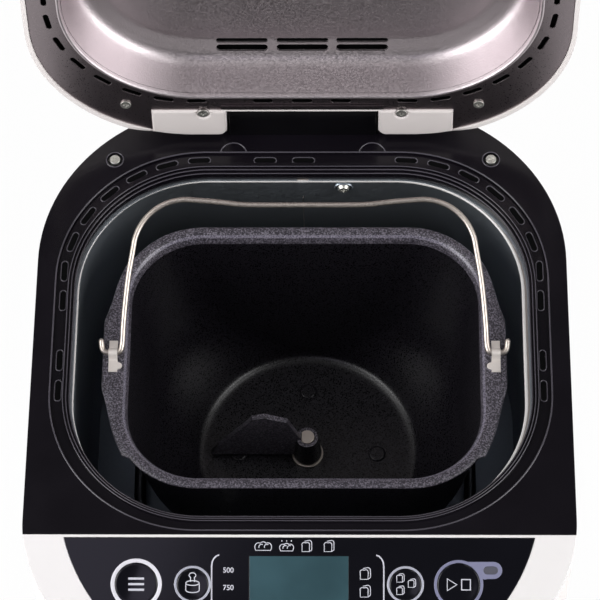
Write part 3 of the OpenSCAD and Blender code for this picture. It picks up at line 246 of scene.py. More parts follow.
def shade_liner_low(finish):
    """Painted shade: the oven's wall gets darker towards its bottom, deep in the oven."""
    apart = finish.node("ShaderNodeSeparateXYZ", None, {0: finish.place})
    depth = Val(finish, apart.outputs[2]).ramp(0.11, 0.195)
    pale = finish.shader.inputs["Base Color"].links[0].from_socket
    finish.set("Base Color", finish.blend(depth, srgb(92, 96, 104), Val(finish, pale)))


make_finishes()
SLOT_OF = {row["node"]: row["material_slot"] for row in frame["record"]["subparts"]}
BODY_OF = {
    node: body for body, nodes in frame["record"]["behaviour"]["bodies"].items() for node in nodes
}

# ---------------------------------------------------------------- mesh helpers


def piece(name, bm, slot, body, smooth_angle=35, finish=None):
    """Makes the bmesh a finished object that rides on a body."""
    for face in bm.faces:
        face.smooth = True
    for edge in bm.edges:
        if len(edge.link_faces) == 2:
            edge.smooth = edge.calc_face_angle(0) < math.radians(smooth_angle)
    mesh = bpy.data.meshes.new(name)
    bm.to_mesh(mesh)
    bm.free()
    made = bpy.data.objects.new(name, mesh)
    bpy.context.scene.collection.objects.link(made)
    mesh.materials.append(finish or FINISH[slot])
    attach(made, body)
    return made


FLAT_ANGLE = 0.6  # degrees between faces that count as one
EDGE_ANGLE = 32  # degrees from which an edge is softened
EDGE_WIDTH = 0.3  # millimetres


def dressed(node):
    """A merged copy of a solid, with softened edges, that stands for it."""
    bm = bmesh.new()
    bm.from_mesh(NODES[node].data)
    bmesh.ops.remove_doubles(bm, verts=bm.verts, dist=0.004 * MM)
    bmesh.ops.dissolve_limit(
        bm, angle_limit=math.radians(FLAT_ANGLE), verts=bm.verts, edges=bm.edges, delimit=set()
    )
    made = piece(node + "_shaped", bm, SLOT_OF[node], BODY_OF[node], EDGE_ANGLE)
    edge = made.modifiers.new("edge", "BEVEL")
    edge.width = EDGE_WIDTH * MM
    edge.segments = 2
    edge.limit_method = "ANGLE"
    edge.angle_limit = math.radians(EDGE_ANGLE)
    edge.use_clamp_overlap = True
    edge.harden_normals = True
    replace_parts(made, node)


for node_name, cad in NODES.items():
    cad.data.materials.clear()
    cad.data.materials.append(FINISH[SLOT_OF[node_name]])

# ---------------------------------------------------------------- driving sizes, in millimetres

PAN_X, PAN_Y = 1.6, -12.5
PAN_FLOOR, PAN_RIM = 89.0, 211.0
OVEN_Y = -10.1
HINGE_Y, HINGE_Z = 124.2, 240.0
LID_ANGLE = 98.4
LID_TURN = Matrix.Translation((0, HINGE_Y, HINGE_Z)) @ Matrix.Rotation(
    math.radians(-LID_ANGLE), 4, "X"
) @ Matrix.Translation((0, -HINGE_Y, -HINGE_Z))
PANEL_TOP_Y, PANEL_TOP_Z = -122.0, 225.5
PANEL_TILT = math.radians(28)
PANEL_TURN = Matrix.Translation((0, PANEL_TOP_Y, PANEL_TOP_Z)) @ Matrix.Rotation(
    PANEL_TILT, 4, "X"
)


def reach(turn, hx, hy, r):
    """How far a rounded rectangle's edge is from its centre, in the direction `turn`."""
    c, s = abs(math.cos(turn)), abs(math.sin(turn))
    if c * (hy - r) >= s * hx:
        return hx / c
    if s * (hx - r) >= c * hy:
        return hy / s
    along = c * (hx - r) + s * (hy - r)
    return along + math.sqrt(max(along * along - (hx - r) ** 2 - (hy - r) ** 2 + r * r, 0))


def outline(hx, hy, r, z, cx=0.0, cy=0.0, lug=0.0):
    """A level of a loft: gives the point of a rounded rectangle that lies in a direction."""

    def point(turn):
        far = reach(turn, hx, hy, r)
        if lug:
            far = (far ** 40 + lug_reach(turn, lug) ** 40) ** (1 / 40)
        return Vector((cx + far * math.cos(turn), cy + far * math.sin(turn), z))

    return point


def lug_reach(turn, hw):
    """The six-sided plate whose flat ends carry the handle clips."""
    c, s = abs(math.cos(turn)), math.sin(turn)
    if c < 0.2:
        return 1.0
    reach_y = 52.0 if s > 0 else 56.0
    if abs(s) * hw <= 20 * c:
        return hw / c
    run_x, run_y = hw - 93.4, reach_y - 20
    far = (hw * run_y + 20 * run_x) / (c * run_y + abs(s) * run_x)
    return far if far * abs(s) < reach_y + 3 else 1.0


def loft(bm, levels, segments=224):
    """Draws a ring through each level, joined to the one before it; gives the last ring's edges."""
    turn = bm.verts.layers.float.get("turn") or bm.verts.layers.float.new("turn")
    ring = bmesh.ops.create_circle(bm, cap_ends=False, segments=segments, radius=1)["verts"]
    edges = list({edge for vert in ring for edge in vert.link_edges})
    for vert in ring:
        vert[turn] = math.atan2(vert.co.y, vert.co.x)
        vert.co = levels[0](vert[turn])
    for level in levels[1:]:
        made = bmesh.ops.extrude_edge_only(bm, edges=edges)["geom"]
        edges = [part for part in made if isinstance(part, bmesh.types.BMEdge)]
        for part in made:
            if isinstance(part, bmesh.types.BMVert):
                part.co = level(part[turn])
    return edges


def finish_mesh(bm, turned=None):
    """Turns the faces outwards and brings millimetres in a part's own frame to its place."""
    bmesh.ops.remove_doubles(bm, verts=bm.verts, dist=0.001)
    bmesh.ops.recalc_face_normals(bm, faces=bm.faces)
    place = Matrix.Scale(MM, 4) @ (turned or Matrix.Identity(4))
    bmesh.ops.transform(bm, matrix=place, verts=bm.verts)


def mesh_of(data):
    """The mesh that a curve or a text gives, as a bmesh."""
    curve = bpy.data.objects.new(data.name, data)
    bpy.context.scene.collection.objects.link(curve)
    mesh = bpy.data.meshes.new_from_object(curve)
    bpy.data.objects.remove(curve)
    bm = bmesh.new()
    bm.from_mesh(mesh)
    return bm


def add_line(data, points, closed=False):
    """Adds straight pieces through the points to a curve; gives the curve's points."""
    spline = data.splines.new("POLY")
    spline.points.add(len(points) - 1)
    spline.use_cyclic_u = closed
    for point, place in zip(spline.points, points):
        point.co = (*place, 1)
    return spline.points


def box(bm, centre, size):
    """Adds a plain box to the bmesh."""
    verts = bmesh.ops.create_cube(bm, size=1)["verts"]
    place = Matrix.Translation(centre) @ Matrix.Diagonal((*size, 1))
    bmesh.ops.transform(bm, verts=verts, matrix=place)


def around(centre, r, start, end, steps):
    """Points on an arc, from one angle to another, in degrees."""
    turns = [math.radians(start + (end - start) * k / steps) for k in range(steps + 1)]
    return [(centre[0] + r * math.cos(a), centre[1] + r * math.sin(a)) for a in turns]


# ---------------------------------------------------------------- pan


def make_pan():
    """The coated pan: up its inside, over the rolled rim and down its outside."""
    def inner(hx, hy, r, z):
        return outline(hx, hy, r, z, PAN_X, PAN_Y)

    floor = PAN_FLOOR
    levels = [inner(7.2, 7.2, 7.2, floor - 1.5), inner(7.2, 7.2, 7.2, floor)]
    levels += [inner(r, r, r, floor) for r in (10, 20, 35, 50, 56)]
    levels += [
        inner(58.6, 58.6, 58.6, floor + 0.25),
        inner(60.5, 60.5, 60.5, floor + 0.9),
        inner(61.9, 61.8, 61.7, floor + 1.9),
        inner(63.0, 62.5, 62.2, floor + 3.3),
        inner(64.8, 63.1, 62.3, floor + 5.4),
        inner(68.6, 63.5, 61.5, floor + 10),
        inner(73.6, 64.0, 59, floor + 16),
        inner(79.0, 64.6, 54, floor + 23),
        inner(82.6, 65.2, 49, floor + 30),
        inner(84.8, 65.7, 45.5, floor + 38),
        inner(86.6, 66.5, 42.5, floor + 50),
        inner(88.8, 68.0, 40, floor + 72),
        inner(90.9, 69.1, 38.6, floor + 96),
        inner(92.0, 69.8, 38.2, floor + 112),
        inner(92.3, 70.0, 38.2, floor + 116),
        inner(92.7, 70.4, 38.5, floor + 118.4),
        inner(93.5, 71.2, 39.1, floor + 120.2),
        inner(94.7, 72.3, 40.0, floor + 121.4),
        inner(96.2, 73.8, 41.2, floor + 122),
    ]
    rim = [
        (98.6, 76.2, 43.4, 0.0, 105.0),
        (99.4, 77.0, 44.2, -0.25, 105.8),
        (99.8, 77.3, 44.6, -0.9, 106.0),
        (99.5, 77.1, 44.3, -1.7, 105.8),
        (98.6, 76.2, 43.4, -2.0, 105.0),
    ]
    levels += [
        outline(hx, hy, r, PAN_RIM + z, PAN_X, PAN_Y, lug) for hx, hy, r, z, lug in rim
    ]
    levels += [
        inner(95.6, 73.3, 40.6, floor + 119.6),
        inner(95.2, 72.9, 40.5, floor + 116),
        inner(92.7, 71.2, 40.5, floor + 96),
        inner(90.3, 69.5, 41.5, floor + 72),
        inner(88.1, 68.0, 44, floor + 50),
        inner(86.3, 67.2, 47, floor + 37.5),
        inner(84.0, 66.7, 50.5, floor + 29),
        inner(80.2, 66.1, 55.5, floor + 21.5),
        inner(74.6, 65.5, 60.5, floor + 14),
        inner(69.4, 65.0, 63, floor + 8),
        inner(65.4, 64.4, 63.9, floor + 3),
        inner(63.5, 63.5, 63.5, floor - 0.3),
        inner(62.2, 62.2, 62.2, floor - 1.2),
        inner(60.5, 60.5, 60.5, floor - 1.5),
        inner(30, 30, 30, floor - 1.5),
        inner(7.2, 7.2, 7.2, floor - 1.5),
    ]
    bm = bmesh.new()
    loft(bm, levels)
    finish_mesh(bm)
    pan = piece("pan_shell", bm, "nonstick_coat", "pan", 60)
    # painted light: the rim and the roll's inside take the lighter copy of the coat
    pan.data.materials.append(FINISH["lit_coat"])
    pan.data.materials.append(FINISH["lip_highlight"])
    middle = Vector((PAN_X, PAN_Y, 0)) * MM
    for face in pan.data.polygons:
        if face.center.z > (PAN_RIM - 0.6) * MM:
            face.material_index = 1
        outward = (face.center - middle).xy.dot(face.normal.xy)
        # painted highlight: a narrow band just inside the rim's roll takes the pale copy
        if (PAN_RIM - 5.4) * MM < face.center.z < (PAN_RIM - 0.1) * MM and outward < 0:
            face.material_index = 2 if abs(face.center.z - (PAN_RIM - 1.2) * MM) < 0.3 * MM else 1
    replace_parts(pan, "bread_pan")


def wire_points(points, step=1.2):
    """A smooth path through the points, by Catmull-Rom."""
    path = []
    for i in range(len(points) - 1):
        a = points[max(i - 1, 0)]
        b, c = points[i], points[i + 1]
        d = points[min(i + 2, len(points) - 1)]
        count = max(2, int((c - b).length / step))
        for k in range(count):
            t = k / count
            path.append(
                0.5
                * (
                    2 * b
                    + (c - a) * t
                    + (2 * a - 5 * b + 4 * c - d) * t * t
                    + (3 * b - a - 3 * c + d) * t ** 3
                )
            )
    path.append(points[-1])
    return path


def tube(name, path, radius, slot, body, sides=6, finish=None):
    """A round wire along a path in metres, with rounded ends."""
    data = bpy.data.curves.new(name, "CURVE")
    data.dimensions = "3D"
    data.bevel_depth = radius
    data.bevel_resolution = sides
    data.use_fill_caps = True
    ends = [path[0] + (path[0] - path[1]).normalized() * radius * 0.8]
    ends.append(path[-1] + (path[-1] - path[-2]).normalized() * radius * 0.8)
    whole = [ends[0], path[0] + (ends[0] - path[0]) * 0.5, *path]
    whole += [path[-1] + (ends[1] - path[-1]) * 0.5, ends[1]]
    points = add_line(data, whole)
    for end, size in ((0, 0.45), (1, 0.85)):
        points[end].radius = size
        points[-1 - end].radius = size
    bm = mesh_of(data)
    bmesh.ops.remove_doubles(bm, verts=bm.verts, dist=1e-6)
    bmesh.ops.recalc_face_normals(bm, faces=bm.faces)
    return piece(name, bm, slot, body, 50, finish)


def make_bail():
    """The handle's wire: half of it as (across, along), mirrored, then leant back."""
    side = [(106.8, 6.2), (106.5, 2.8), (105.6, 0.7), (103.8, 0), (101.3, 0), (98.5, 0)]
    side += [(97.1, 0.5), (96.2, 2.4), (95.7, 6), (95.3, 14), (94.5, 24), (93.5, 34), (92.3, 43)]
    side += around((62.5, 52.8), 27.8, 5, 93, 11)
    side += [(46, 79.4), (34, 78.1), (24, 77.8), (0, 77.8)]
    flat = side + [(-x, s) for x, s in side[-2::-1]]
    lean = math.radians(65)
    pivot = Vector((PAN_X, PAN_Y, 212.85))
    points = [
        (pivot + Vector((x, s * math.sin(lean), s * math.cos(lean)))) * MM for x, s in flat
    ]
    bail = tube("bail_wire", wire_points(points, 1.5 * MM), 1.45 * MM, "bright_steel", "bail")
    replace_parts(bail, "bail_handle")


def make_clips():
    """Two folded steel straps over the bail's wire, each with a lobed lower foot."""
    made = []
    for side in (-1, 1):
        place = Matrix.Translation((PAN_X, PAN_Y, PAN_RIM))
        foot = [(-102.9, -10.9), (-98.1, -10.9), (-98.1, -9.4)]
        foot += around((-97.6, -7.3), 1.9, -80, 80, 8)
        foot += [(-98.1, -5.2), (-98.1, -4.3), (-102.9, -4.3)]
        head = [(-102.9, 2.4), (-98.3, 2.4), (-98.3, 7.5), (-102.9, 7.5)]
        for shape in (foot, head):
            loop = [Vector((-side * x, y, 0)) for x, y in shape]
            # painted light: the clip plates and straps take the paler copy of the steel
            plate("clip_foot", [loop], 1.0, 0.25, "bright_steel", "pan",
                  place @ Matrix.Translation((0, 0, 0.55)), FINISH["clip_lit_steel"])
        strap = [(-5.2, 0.7), (-4.0, 0.7), (-3.4, 1.0), (-2.9, 2.2), (-2.2, 3.5), (-0.9, 4.2),
                 (0.6, 4.0), (1.8, 3.0), (2.3, 1.4), (3.0, 0.7)]
        bm = bmesh.new()
        rows = [[bm.verts.new((side * (100.4 + dx), y, z)) for y, z in strap] for dx in (-2.2, 2.5)]
        for k in range(len(strap) - 1):
            bm.faces.new((rows[0][k], rows[0][k + 1], rows[1][k + 1], rows[1][k]))
        bmesh.ops.solidify(bm, geom=bm.faces[:], thickness=0.7)
        finish_mesh(bm, place)
        made.append(piece("clip_strap", bm, "bright_steel", "pan", 50, FINISH["clip_lit_steel"]))
    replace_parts(made[0], "handle_clips")


# ---------------------------------------------------------------- deck

RING, RING_Y = (130.0, 111.5, 78.0), -8.3
OVEN = (120.0, 101.2, 70.0)
DECK = 225.0


def bead(bm, size, inset, middle, width, segments=256, turned=None):
    """A round line along a rounded rectangle, half sunk into what it lies on."""
    there = set(bm.verts)
    hx, hy, r = size
    levels = []
    for k in range(9):
        a = math.pi * k / 4
        out = width * math.cos(a) - inset
        levels.append(
            outline(hx + out, hy + out, r + out, middle[2] + width * math.sin(a), *middle[:2])
        )
    loft(bm, levels, segments)
    if turned:
        bmesh.ops.transform(bm, matrix=turned, verts=[v for v in bm.verts if v not in there])


def deck_slots():
    """Where the vent slots in the deck's ring are."""
    places = []
    for side in (-1, 1):
        for i in (0, 1, 3, 4):
            places.append((Matrix.Translation((side * 125.7, 17.7 * i - 40.4, 0)), 90))
        for i in range(6):
            turn = side * (math.degrees(i * 17.7 / 73.7) - 71.8)
            spin = Matrix.Rotation(math.radians(turn), 4, "Z")
            places.append((Matrix.Translation((side * 52, 25.2, 0)) @ spin
                           @ Matrix.Translation((0, 73.7, 0)), 0))
    places += [(Matrix.Translation((x, 98.9, 0)), 0) for x in (-20.3, 0.4)]
    return [place @ Matrix.Rotation(math.radians(turn), 4, "Z") for place, turn in places]


def make_deck_trim():
    """The raised rims of the deck's steps, slots and screw holes, and a black sheet below the slots
    as painted shade.
    """
    bm = bmesh.new()
    bead(bm, RING, 0, (0, RING_Y, DECK), 0.45)
    bead(bm, OVEN, -3.2, (0, OVEN_Y, DECK), 0.3)
    bead(bm, OVEN, -1.6, (0, OVEN_Y, DECK - 0.9), 0.34)
    bead(bm, OVEN, 0, (0, OVEN_Y, DECK - 2.2), 0.34)
    for place in deck_slots():
        bead(bm, (6.1, 1.85, 1.84), 0, (0, 0, DECK - 1.5), 0.36, 40, place)
    for side in (-1, 1):
        bead(bm, (4.6, 4.6, 4.59), 0, (side * 101.54, 98.5, DECK), 0.34, 48)
    finish_mesh(bm)
    # painted highlight: the rims and the arches take the paler grey copy of the deck's black
    piece("deck_rims", bm, "deck_plastic", "body", 60, FINISH["deck_rim_highlight"])
    for side in (-1, 1):
        arch = [Vector((*p, DECK)) * MM for p in around((side * 37.5, 101.9), 7.2, 15, 165, 15)]
        tube("arch", arch, 0.4 * MM, "deck_plastic", "body", 3, FINISH["deck_rim_highlight"])
    # painted shade: a black sheet just under the channel's floor, seen only through the slots
    bm = bmesh.new()
    inner, outer = (*OVEN, 3.9), (*RING, -0.6)
    loft(bm, [
        outline(x + grow, y + grow, r + grow, DECK - 1.75, 0, middle)
        for (x, y, r, grow), middle in ((inner, OVEN_Y), (outer, RING_Y))
    ])
    finish_mesh(bm)
    piece("slot_shade_sheet", bm, "deck_plastic", "body", 60, FINISH["shadow_black"])


def make_liner_lip():
    """The liner's turned-in top edge, a little wider on the right."""
    def at(inset, z):
        return outline(120 - inset, 101.2 - inset / 2, 70 - inset, DECK + z, -inset / 3, OVEN_Y)

    bm = bmesh.new()
    loft(bm, [at(-0.6, -8.35), at(1.5, -8.35)])
    finish_mesh(bm)
    piece("liner_lip", bm, "liner_steel", "body", 60, FINISH["liner_lip"])
    bm = bmesh.new()
    loft(bm, [at(1.5, -8.35), at(2.1, -8.4), at(2.5, -8.7), at(2.7, -9.2), at(2.4, -9.8)])
    finish_mesh(bm)
    # painted highlight: the bend takes the paler copy of the steel
    piece("liner_bend", bm, "liner_steel", "body", 60, FINISH["liner_bend_highlight"])
    bm = bmesh.new()
    bead(bm, (4.6, 3.4, 3.3), 0, (0, 0, 0), 0.5, 40,
         Matrix.Translation((22, 90.0, 209.7)) @ Matrix.Rotation(math.radians(90), 4, "X"))
    finish_mesh(bm)
    piece("liner_dimple", bm, "liner_steel", "body", 60)


# ---------------------------------------------------------------- lid liner


def stadium(length, width, steps=10):
    """Corner points of a slot with round ends, in its own frame."""
    half, r = (length - width) / 2, width / 2
    points = []
    for side in (1, -1):
        for k in range(steps + 1):
            a = math.radians(-90 + 180 * k / steps)
            points.append(Vector((side * (half + r * math.cos(a)), side * r * math.sin(a), 0)))
    return points


def plate(name, loops, thick, round_edge, slot, body, turned, finish=None):
    """A flat plate from closed outlines, the first round it and the others its holes."""
    data = bpy.data.curves.new(name, "CURVE")
    data.dimensions = "2D"
    data.fill_mode = "BOTH"
    data.extrude = (thick / 2 - round_edge) * MM
    data.bevel_depth = round_edge * MM
    data.bevel_resolution = 1 if round_edge < 1 else 5
    data.offset = -round_edge * MM
    for loop in loops:
        add_line(data, [place * MM for place in loop], True)
    bm = mesh_of(data)
    bmesh.ops.remove_doubles(bm, verts=bm.verts, dist=1e-6)
    scale = Matrix.Scale(MM, 4)
    bmesh.ops.transform(bm, matrix=scale @ turned @ scale.inverted(), verts=bm.verts)
    return piece(name, bm, slot, body, 12, finish)


LID_FRONT, LID_REAR, LID_HW = -123.3, 134.9, 143.0
LID_FRONT_R, LID_REAR_R = 34.0, 84.0
LID_TOP = 277.0  # the crown's height with the lid closed
DOME_HX, DOME_REAR, DOME_FRONT = 123.7, 103.2, -106.3
DOME_Y, DOME_HY = (DOME_REAR + DOME_FRONT) / 2, (DOME_REAR - DOME_FRONT) / 2
FLANGE_Z = 227.0


def make_lid_liner():
    """The dome pressed into the lid's liner, with its slots, and black sheets behind them and the
    flange's slots as painted shade.
    """
    def at(inset, z):
        return outline(DOME_HX - inset, DOME_HY - inset, 69 - inset, FLANGE_Z + z, 0, DOME_Y)

    profile = [
        (-1.4, 0.75), (-1.4, 0.0), (-1.1, -0.2), (-0.7, -0.3), (-0.3, -0.25), (0.1, 0.0),
        (0.4, 0.6), (0.9, 2.4), (2.0, 7.0), (3.2, 12.5), (4.4, 17.0),
        (5.1, 19.0), (6.2, 21.0), (7.8, 22.7), (9.8, 23.8), (12.2, 24.5), (14.6, 25.1),
        (16.6, 25.8), (18.2, 26.0), (20.0, 25.9), (23.0, 25.6), (30.0, 25.6), (45.0, 25.6),
    ]
    bm = bmesh.new()
    last = loft(bm, [at(i, z) for i, z in profile], 256)
    bmesh.ops.contextual_create(bm, geom=last)
    back = [(-1.4, 0.75), (-0.6, 0.75), (0.2, 2.6), (1.2, 7.2), (3.6, 17.8), (4.6, 20.6)]
    back += [(7.2, 23.8), (9.6, 25.0), (12.0, 25.8), (15.5, 26.6), (18.2, 26.8), (45.0, 26.6)]
    last = loft(bm, [at(i, z) for i, z in back], 256)
    bmesh.ops.contextual_create(bm, geom=last)
    finish_mesh(bm, LID_TURN)
    dome = piece("lid_dome", bm, "lid_steel", "lid", 40)
    bm = bmesh.new()
    slots = [(x, y, width) for x in (-32, 0.2, 32) for y, width in ((86.7, 2.8), (91.2, 4.0))]
    for x, y, width in slots:
        loop = [bm.verts.new(p + Vector((x, y, FLANGE_Z + 18))) for p in stadium(27.6, width)]
        face = bm.faces.new(loop)
        made = bmesh.ops.extrude_face_region(bm, geom=[face])["geom"]
        top = [v for v in made if isinstance(v, bmesh.types.BMVert)]
        bmesh.ops.translate(bm, vec=(0, 0, 14), verts=top)
    finish_mesh(bm, LID_TURN)
    cut_out(dome, bm)
    # painted shade: black sheets behind the dome's slots and behind the flange's slots
    bm = bmesh.new()
    box(bm, (0, 89.6, FLANGE_Z + 28), (100, 14, 0.6))
    loft(bm, [
        outline(hx, hy, r, FLANGE_Z + 2.2, 0, DOME_Y)
        for hx, hy, r in ((DOME_HX - 1, DOME_HY - 1, 68), (DOME_HX + 12, DOME_HY + 8, 78))
    ])
    finish_mesh(bm, LID_TURN)
    piece("lid_shade_sheet", bm, "lid_steel", "lid", 30, FINISH["shadow_black"])
    return dome


def cut_out(made, bm):
    """Cuts the closed shapes in the bmesh out of a piece."""
    mesh = bpy.data.meshes.new("cutter")
    bm.to_mesh(mesh)
    bm.free()
    cutter = bpy.data.objects.new("cutter", mesh)
    bpy.context.scene.collection.objects.link(cutter)
    mod = made.modifiers.new("cut", "BOOLEAN")
    mod.operation = "DIFFERENCE"
    mod.object = cutter
    mod.solver = "EXACT"
    depsgraph = bpy.context.evaluated_depsgraph_get()
    result = bpy.data.meshes.new_from_object(made.evaluated_get(depsgraph))
    made.modifiers.clear()
    made.data = result
    bpy.data.objects.remove(cutter)


def lid_edge(inset):
    """The lid's outline in its closed place, drawn inwards by `inset`."""
    rear_x, front_x = LID_HW - LID_REAR_R, LID_HW - LID_FRONT_R
    rear_y, front_y = LID_REAR - LID_REAR_R, LID_FRONT + LID_FRONT_R
    corners = [
        (rear_x, rear_y, LID_REAR_R, 0), (-rear_x, rear_y, LID_REAR_R, 90),
        (-front_x, front_y, LID_FRONT_R, 180), (front_x, front_y, LID_FRONT_R, 270),
    ]
    return [
        Vector((*p, 0)) for x, y, r, start in corners
        for p in around((x, y), r - inset, start, start + 90, 32)
    ]


def lid_slots():
    """The flange's narrow vents: where each one's middle is and how it is turned, in degrees."""
    places = []
    r, cx, cy = 73.0, 58.2, 33.3
    for side in (-1, 1):
        for i in range(7):
            a = 91.7 - i * 13.89
            places.append(
                (side * (cx + r * math.cos(math.radians(a))), cy + r * math.sin(math.radians(a)),
                 side * (a - 90))
            )
        for i in range(6):
            places.append((side * 131.2, cy - 7 - i * 17.7, 90))
        places.append((side * 20.8, 106.3, 0))
    places.append((0, 106.3, 0))
    return places


def make_lid_flange():
    """The liner's flat flange, with its slots and screw holes, cut back for the two pads."""
    edge = lid_edge(2.7)
    clipped = []
    cut_y, cut_x = 113.3, 80.8
    for p, q in zip(edge, edge[1:] + edge[:1]):
        inside = not (p.y > cut_y and abs(p.x) < cut_x)
        inside_q = not (q.y > cut_y and abs(q.x) < cut_x)
        if inside:
            clipped.append(p)
        if inside != inside_q:
            side = math.copysign(cut_x, (p + q).x)
            t = (side - p.x) / (q.x - p.x) if q.x != p.x else 0
            border = p.lerp(q, t)
            corner = Vector((side, cut_y, 0))
            clipped += [border, corner] if inside else [corner, border]
    dome = outline(DOME_HX + 0.9, DOME_HY + 0.9, 69.9, 0, 0, DOME_Y)
    loops = [clipped, [dome(2 * math.pi * k / 256) for k in range(256)]]
    for x, y, turn in lid_slots():
        spin = Matrix.Translation((x, y, 0)) @ Matrix.Rotation(math.radians(turn), 4, "Z")
        loops.append([spin @ p for p in stadium(11, 2.9)])
    for side in (-1, 1):
        for y in (108.8, -99.3):
            loops.append([Vector((side * 94, y, 0)) + p for p in stadium(4.0, 3.99)])
    # painted shade: the flange takes the darker copy of the lid's steel
    plate(
        "lid_flange", loops, 0.8, 0.12, "lid_steel", "lid",
        LID_TURN @ Matrix.Translation((0, 0, FLANGE_Z + 0.4)), FINISH["flange_shaded_steel"],
    )


def close_body_corners():
    """A strip of the body's wall at both front corners, up to the skirt of the bezel."""
    corner_x, corner_y, corner_r = 76, -114.38, 64
    outside, inside, bottom = 63.97, 62.6, 178.5
    skirt = PANEL_TOP_Z - 6.8 / math.cos(PANEL_TILT)
    for side in (-1, 1):
        bm = bmesh.new()
        rows = []
        for k in range(13):
            a = math.acos((100.5 + k - corner_x) / corner_r)
            row = []
            for r, low in ((outside, True), (outside, False), (inside, False), (inside, True)):
                x, y = corner_x + r * math.cos(a), corner_y - r * math.sin(a)
                top = skirt + (y - PANEL_TOP_Y) * math.tan(PANEL_TILT)
                row.append(bm.verts.new((side * x, y, bottom if low else top)))
            rows.append(row)
        for one, two in zip(rows, rows[1:]):
            for i in range(4):
                bm.faces.new((one[i], two[i], two[i - 3], one[i - 3]))
        bm.faces.new(rows[0])
        bm.faces.new(rows[-1])
        finish_mesh(bm)
        piece("body_corner", bm, SLOT_OF["body_shell"], "body", 30)


def round_off_crown():
    """The lid's top without the peak that its facets have in the middle."""
    mesh = bpy.data.objects["lid_shell_shaped"].data
    top = (LID_TURN @ Vector((0, (LID_FRONT + LID_REAR) / 2, LID_TOP))) * MM
    bm = bmesh.new()
    bm.from_mesh(mesh)
    bmesh.ops.dissolve_verts(bm, verts=[v for v in bm.verts if (v.co - top).length < 5 * MM])
    bm.to_mesh(mesh)
    bm.free()


def make_arm_faces():
    """The lid's two pads beside the hinge, with rolled edges and a dip for each screw."""
    bm = bmesh.new()
    box(bm, (0, 110.8, 226.3), (86.6, 2.8, 0.8))
    finish_mesh(bm, LID_TURN)
    # painted shade: the hem takes the darker copy of the lid's steel
    piece("flange_hem", bm, "lid_steel", "lid", 30, FINISH["flange_shaded_steel"])
    for side in (-1, 1):
        loop = [(80.6, 113.4), (80.6, 130.0)]
        loop += around((59, 50.9), 82, 76, 90, 10) + around((45.2, 128.6), 4.3, 90, 180, 8)
        loop.append((40.9, 113.4))
        loop += around((53, 115.2), 3.4, 212, -32, 20)
        loop = [Vector((side * x, y, 0)) for x, y in loop[::-side]]
        # painted shade: the pads are the white plastic made darker
        plate("arm_face", [loop], 6.4, 1.5, "white_plastic", "lid",
              LID_TURN @ Matrix.Translation((0, 0, 228.7)), FINISH["pad_shaded_plastic"])


# ---------------------------------------------------------------- control panel


def lathe(bm, profile, steps=96, centre=(0.0, 0.0)):
    """Turns a profile of (radius, height) round the vertical through `centre`."""
    x, y = centre
    verts = [bm.verts.new((x + r, y, z)) for r, z in profile]
    edges = [bm.edges.new(pair) for pair in zip(verts, verts[1:])]
    bmesh.ops.spin(
        bm, geom=verts + edges, cent=(x, y, 0), axis=(0, 0, 1), angle=2 * math.pi,
        steps=steps, use_merge=True,
    )


# each cap's middle (x along the panel, s down its slope) and radius
BUTTONS = {
    "menu_button": (-82, 25.4, 10.6), "weight_button": (-53.6, 25.4, 7.8),
    "crust_button": (53.6, 25.4, 7.8), "start_button": (80.3, 25.4, 10.6),
    "time_up_button": (12, 47, 5.5), "time_down_button": (-12, 47, 5.5),
}
CAP_PROUD, CAP_DISH = 0.9, 0.45
CAP_FLAT = 0.92  # the dish's share of the cap's radius


def make_button(node):
    """A dished cap with a rolled edge, on the same stem and flange as its solid."""
    x, s, r = BUTTONS[node]
    low = CAP_PROUD - CAP_DISH
    profile = [(0, low)]
    profile += [
        (r * CAP_FLAT * k / 8, CAP_PROUD - CAP_DISH * (1 - (k / 8) ** 2)) for k in range(1, 9)
    ]
    profile += [(r - 0.45, CAP_PROUD + 0.02), (r - 0.18, CAP_PROUD - 0.06)]
    profile += [(r - 0.04, CAP_PROUD - 0.22), (r, CAP_PROUD - 0.5)]
    profile += [(r, -1.9), (r + 1.2, -1.9), (r + 1.2, -3.4), (2.2, -3.4), (2.2, -8.1), (0, -8.1)]
    bm = bmesh.new()
    lathe(bm, profile, 96, (x, -s))
    finish_mesh(bm, PANEL_TURN)
    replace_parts(piece(node + "_cap", bm, "black_gloss", node, 40), node)


def flat_ring(name, node, inner, outer, finish):
    """A raised printed ring round a button."""
    x, s, _ = BUTTONS[node]
    profile = [(inner, 0.2), (inner, 0.6), (inner + 0.15, 0.72), (outer - 0.3, 0.72)]
    profile += [(outer, 0.45), (outer, 0.2)]
    bm = bmesh.new()
    lathe(bm, profile, 128, (x, -s))
    finish_mesh(bm, PANEL_TURN)
    return piece(name, bm, "silver_trim", "body", 40, finish)


def lobe_ring(name, node, inner, outer, finish, lobe):
    """A printed ring that runs out into a capsule; `lobe` is its far end, its s and its half."""
    x, s, _ = BUTTONS[node]
    far_x, lobe_s, half = lobe
    steps = 96
    top, low = -lobe_s + half, -lobe_s - half
    # the ring's outside, from where the capsule's top edge leaves it round to below the capsule
    start = math.degrees(math.asin(min(0.999, (top + s) / outer)))
    end = 360 + math.degrees(math.asin((low + s) / outer))
    edge = around((x, -s), outer, start, end, steps)
    leave_x = edge[-1][0]
    edge += [(leave_x + 1.2, low - 0.35), (leave_x + 2.4, low)]
    edge += around((far_x - half, -lobe_s), half, -90, 90, 16)
    hole = around((x, -s), inner, 0, 360, steps)[:-1]
    eye = [p + Vector((96.4, -18.2, 0)) for p in stadium(7.4, 4.0)]
    plate(
        name, [[Vector((*p, 0)) for p in edge], [Vector((*p, 0)) for p in hole], eye],
        0.5, 0.12, "silver_trim", "body",
        PANEL_TURN @ Matrix.Translation((0, 0, 0.46)), finish,
    )


